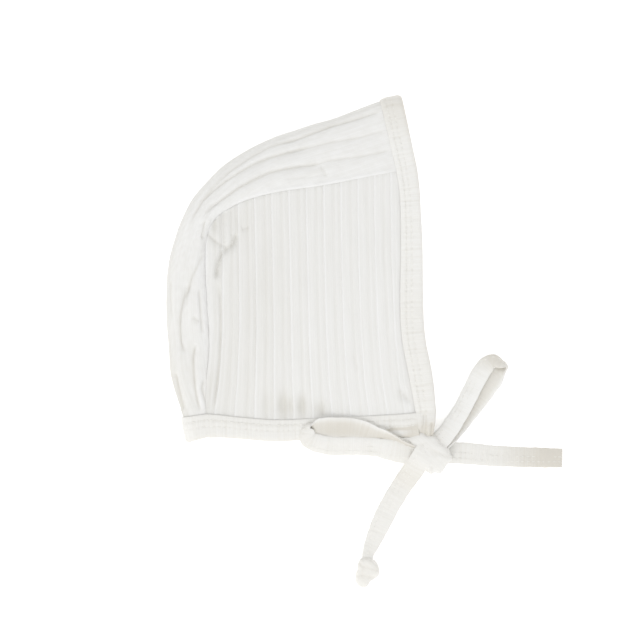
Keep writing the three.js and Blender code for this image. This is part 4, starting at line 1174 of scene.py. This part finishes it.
def panel_piece(upper):
    """One side panel with ribs, the upper one also with hollows and creases, and its edges inside the
    bindings.
    """
    sizes = bpy.context.scene.bonnet_sizes
    columns = panel_columns(27 if upper else 14)
    near = np.array([0, 0.004, 0.009, 0.016, 0.026, 0.04])
    rows = np.linspace(0.055, 0.945, 40)
    if upper:
        rows = np.concatenate([np.linspace(0.05, 0.6, 40), np.linspace(0.61, 0.95, 42)])
    v = np.concatenate([near, rows, 1 - near[::-1]])
    u, points = panel_grid(columns, v)
    v_grid = np.repeat(v[:, None], len(columns), axis=1)
    back_length, neck_length = lengths(PANEL_BACK)[-1], lengths(PANEL_NECK)[-1]
    place = rib_place(points)
    share = np.mod(place, 1.0)
    strength = np.interp(place, RIB_STRENGTH_AT, RIB_STRENGTH) * sizes.rib_depth
    depth = np.interp(share, RIB_SHAPE_AT, RIB_SHAPE_DEPTH) * strength
    # painted light: lighter toward the face, a painted highlight on each rib's raised edge and painted
    # shade in its valley
    tones = 0.56 + 0.12 * u + (np.interp(share, RIB_SHAPE_AT, RIB_SHAPE_TONE) - 0.6) * strength
    to_back, to_top = u * neck_length, (1 - v_grid) * back_length
    to_face, to_neck = (1 - u) * neck_length, v_grid * back_length
    if upper:
        folds, bottoms = crease_depth(points[..., :2], PANEL_CREASES)
        hollows = hollow_depth(points[..., :2], PANEL_HOLLOWS)
        # painted shade in the creases' bottoms and in the hollows
        tones -= 0.3 * bottoms + 0.3 * np.clip(hollows, 0, 1.6)
        depth = depth * (0.7 + 0.3 * smoothstep(to_back / 8.0)) + folds + hollows
        depth += 0.12 * ripple(points, 13.0, 6) + 0.04 * ripple(points, 4.0, 7)
        open_seam = smoothstep((points[..., 1] + 48) / 8) * smoothstep((22 - points[..., 1]) / 8)
        depth += 0.1 * open_seam * bell(to_back, 3.5) * (1 + ripple(points, 3.2, 8))
        edges = 0.25 * open_seam * bell(to_back, 0.6)
        edges += 0.25 * smoothstep(to_back / 14) * bell(to_top, 1.0)
        edges += 0.12 * bell(to_face, 0.8)
        # the panel lies flush with the crown strip at the corner between their two seams, with painted
        # light there and beside the open seam
        corner = np.exp(-(((points[..., 0] + 60) / 12) ** 2) - ((points[..., 1] - 34) / 14) ** 2)
        flush = corner * bell(np.minimum(to_back, to_top), 1.3)
        edges -= 0.35 * flush
        tones += 0.3 * flush + 0.15 * open_seam * bell(to_back, 5)
        points[..., 2] -= depth * smoothstep(np.minimum(to_face, to_neck) / 1.5) + edges
    else:
        rise = 0.4 * depth + 0.1 * (1 + ripple(points, 12.0, 9))
        points[..., 2] = np.maximum(lift(to_face), lift(to_neck)) + rise
    right = unit(across_binding(FACE_EDGE, (1 - v) * (len(FACE_EDGE) - 1)))
    columns_out = [points[:, -1] + right * reach for reach in (1.5, 3.5, TUCK)]
    under_strip = np.array([(1.4, 1.6), (0.7, 0.8), (0.3, 0.2)]) * (1 if upper else (1, -1))
    back = evenly(outward_at(np.linspace(NAPE_ROW, CORNER_ROW, 90)), v)
    columns_in = [points[:, 0] + back * out - UP * drop for out, drop in under_strip]
    points = np.concatenate([np.stack(columns_in, axis=1), points, np.stack(columns_out, axis=1)], axis=1)
    top = evenly(outward_at(np.linspace(CORNER_ROW, FACE_ROW, 90)), u[-1])
    top = np.concatenate([[top[0]] * 3, top, [top[-1]] * 3])
    rows_top = [points[-1] + top * out - UP * drop for out, drop in under_strip[::-1]]
    points = np.concatenate([points, np.stack(rows_top)])
    u_wide = np.concatenate([[0, 0, 0], u[0], [1, 1, 1]])
    down = unit(across_binding(NECK_EDGE, u_wide * (len(NECK_EDGE) - 1)))
    rows_out = [points[0] + down * reach for reach in (TUCK, 3.5, 1.5)]
    points = np.concatenate([np.stack(rows_out), points])
    tones = np.pad(tones, 3, mode="edge")
    cloth = np.meshgrid(lengths(points[40]), lengths(points[:, 60]))
    bm = grid_mesh(points, np.stack(cloth, axis=-1), tones)
    facing = 1 if upper else -1
    bm.normal_update()
    middle = bm.faces[:][len(bm.faces) // 2 + len(columns) // 2]
    if middle.normal.z * facing < 0:
        bmesh.ops.reverse_faces(bm, faces=bm.faces)
    return bm


class BONNET_OT_panels(bpy.types.Operator):
    """The two ribbed side panels, one over the other"""
    bl_idname = "bonnet.panels"
    bl_label = "Side panels"

    def execute(self, context):
        knit = material_of("rib_knit_cotton")
        under = finish_piece(panel_piece(False), "panel_under", knit, "side_panel_lower", wall=WALL)
        over = finish_piece(panel_piece(True), "panel_over", knit, "side_panel_upper", wall=WALL)
        return {"FINISHED"}


class BONNET_OT_bindings(bpy.types.Operator):
    """The folded bindings around the face and the neck, each with two rows of coverstitch"""
    bl_idname = "bonnet.bindings"
    bl_label = "Bindings"

    def execute(self, context):
        sizes = context.scene.bonnet_sizes
        stitch_rows = (sizes.stitch_row_first, sizes.stitch_row_second)
        pitch = sizes.stitch_pitch / MM
        knit, thread = material_of("binding_knit_cotton"), material_of("sewing_thread")
        fold = crown_end(FACE_ROW, 0, FACE_WIDTHS)
        stations = binding_stations(FACE_EDGE, PANEL_FRONT, fold, 1.0, True)
        frames = binding_frames(stations, BINDING_STEP)
        bm = binding_mesh(frames, sizes, FACE_BINDING_CREASES, 0.5, 0.1)
        finish_piece(bm, "face_edge_binding", knit, "face_binding")
        bm = stitches_mesh(frames, BINDING_HALF - 0.18, stitch_rows, pitch, STITCH_FREE, STITCH_FREE)
        finish_piece(bm, "face_edge_stitches", thread)
        fold = crown_end(NAPE_ROW, NAPE_ROW + 1, NECK_WIDTHS)
        start_at = 1 - 0.5 / lengths(PANEL_NECK)[-1]
        stations = binding_stations(NECK_EDGE, PANEL_NECK, fold, start_at, False)
        # both ends reach in under the face binding
        for end, inner in ((0, 1), (-1, -2)):
            stations[0][end] += unit(stations[0][end] - stations[0][inner]) * NECK_REACH
        frames = binding_frames(stations, BINDING_STEP)
        bm = binding_mesh(frames, sizes, NECK_BINDING_CREASES, 1.4, 0.25)
        finish_piece(bm, "neck_edge_binding", knit, "neck_binding")
        bm = stitches_mesh(frames, BINDING_HALF - 0.18, stitch_rows, pitch)
        finish_piece(bm, "neck_edge_stitches", thread)
        return {"FINISHED"}


class BONNET_OT_bow(bpy.types.Operator):
    """The bow's two loops and the knot that holds them"""
    bl_idname = "bonnet.bow"
    bl_label = "Bow"

    def execute(self, context):
        tape_piece(LOOP_LEFT, "loop_left", -0.8, -1, 0.1, 0.15, "bow_loop_left")
        tape_piece(LOOP_RIGHT, "loop_right", -0.5, -1, 0.05, 0.0, "bow_loop_right")
        bm = knot_mesh(KNOT, KNOT_MIDDLE, KNOT_LEVEL, KNOT_TOP, KNOT_CREASES, 12, BINDING_TONE)
        finish_piece(bm, "knot", material_of("binding_knit_cotton"), "bow_knot")
        return {"FINISHED"}


class BONNET_OT_stage(bpy.types.Operator):
    """Pale seamless paper, even fill and one large soft light at the lower left"""
    bl_idname = "bonnet.stage"
    bl_label = "Stage"

    def execute(self, context):
        studio = context.scene.bonnet_studio
        bm = bmesh.new()
        bmesh.ops.create_grid(bm, x_segments=8, y_segments=8, size=FLOOR_HALF)
        mesh = bpy.data.meshes.new("floor")
        bm.to_mesh(mesh)
        bm.free()
        floor = bpy.data.objects.new("floor", mesh)
        context.scene.collection.objects.link(floor)
        mesh.materials.append(material_of("seamless_paper"))
        world = bpy.data.worlds.new("studio")
        context.scene.world = world
        world.use_nodes = True
        back = world.node_tree.nodes["Background"]
        back.inputs[0].default_value = (*linear("#FFFFFF"), 1)
        back.inputs[1].default_value = studio.sky
        light = bpy.data.lights.new("key", "AREA")
        light.energy = studio.key_power
        light.shape = "DISK"
        light.size = KEY_SIZE
        key = bpy.data.objects.new("key", light)
        context.scene.collection.objects.link(key)
        centre = Vector((*from_photo((PHOTO_CENTRE, PHOTO_CENTRE)), 0)) * MM
        toward = Vector(KEY_TOWARD).normalized()
        key.location = centre + toward * KEY_DISTANCE
        key.rotation_mode = "QUATERNION"
        key.rotation_quaternion = toward.to_track_quat("Z", "Y")
        context.scene.view_settings.view_transform = "Standard"
        return {"FINISHED"}


OPERATORS = (
    BONNET_OT_camera,
    BONNET_OT_tails,
    BONNET_OT_crown,
    BONNET_OT_panels,
    BONNET_OT_bindings,
    BONNET_OT_bow,
    BONNET_OT_stage,
)


class BONNET_PT_panel(bpy.types.Panel):
    bl_idname = "BONNET_PT_panel"
    bl_label = "Baby bonnet"
    bl_space_type = "VIEW_3D"
    bl_region_type = "UI"
    bl_category = "Bonnet"

    def draw(self, context):
        for group in ("bonnet_sizes", "bonnet_colours", "bonnet_studio"):
            values = getattr(context.scene, group)
            for name in values.bl_rna.properties.keys():
                if name not in ("rna_type", "name"):
                    self.layout.prop(values, name)
        for operator in OPERATORS:
            self.layout.operator(operator.bl_idname)


CLASSES = (BonnetSizes, BonnetColours, BonnetStudio, *OPERATORS, BONNET_PT_panel)


def register():
    for entry in CLASSES:
        bpy.utils.register_class(entry)
    bpy.types.Scene.bonnet_sizes = bpy.props.PointerProperty(type=BonnetSizes)
    bpy.types.Scene.bonnet_colours = bpy.props.PointerProperty(type=BonnetColours)
    bpy.types.Scene.bonnet_studio = bpy.props.PointerProperty(type=BonnetStudio)


def unregister():
    del bpy.types.Scene.bonnet_studio
    del bpy.types.Scene.bonnet_colours
    del bpy.types.Scene.bonnet_sizes
    for entry in reversed(CLASSES):
        bpy.utils.unregister_class(entry)


def main():
    register()
    bpy.ops.bonnet.camera()
    bpy.ops.bonnet.tails()
    bpy.ops.bonnet.crown()
    bpy.ops.bonnet.panels()
    bpy.ops.bonnet.bindings()
    bpy.ops.bonnet.bow()
    bpy.ops.bonnet.stage()


if __name__ == "__main__":
    main()
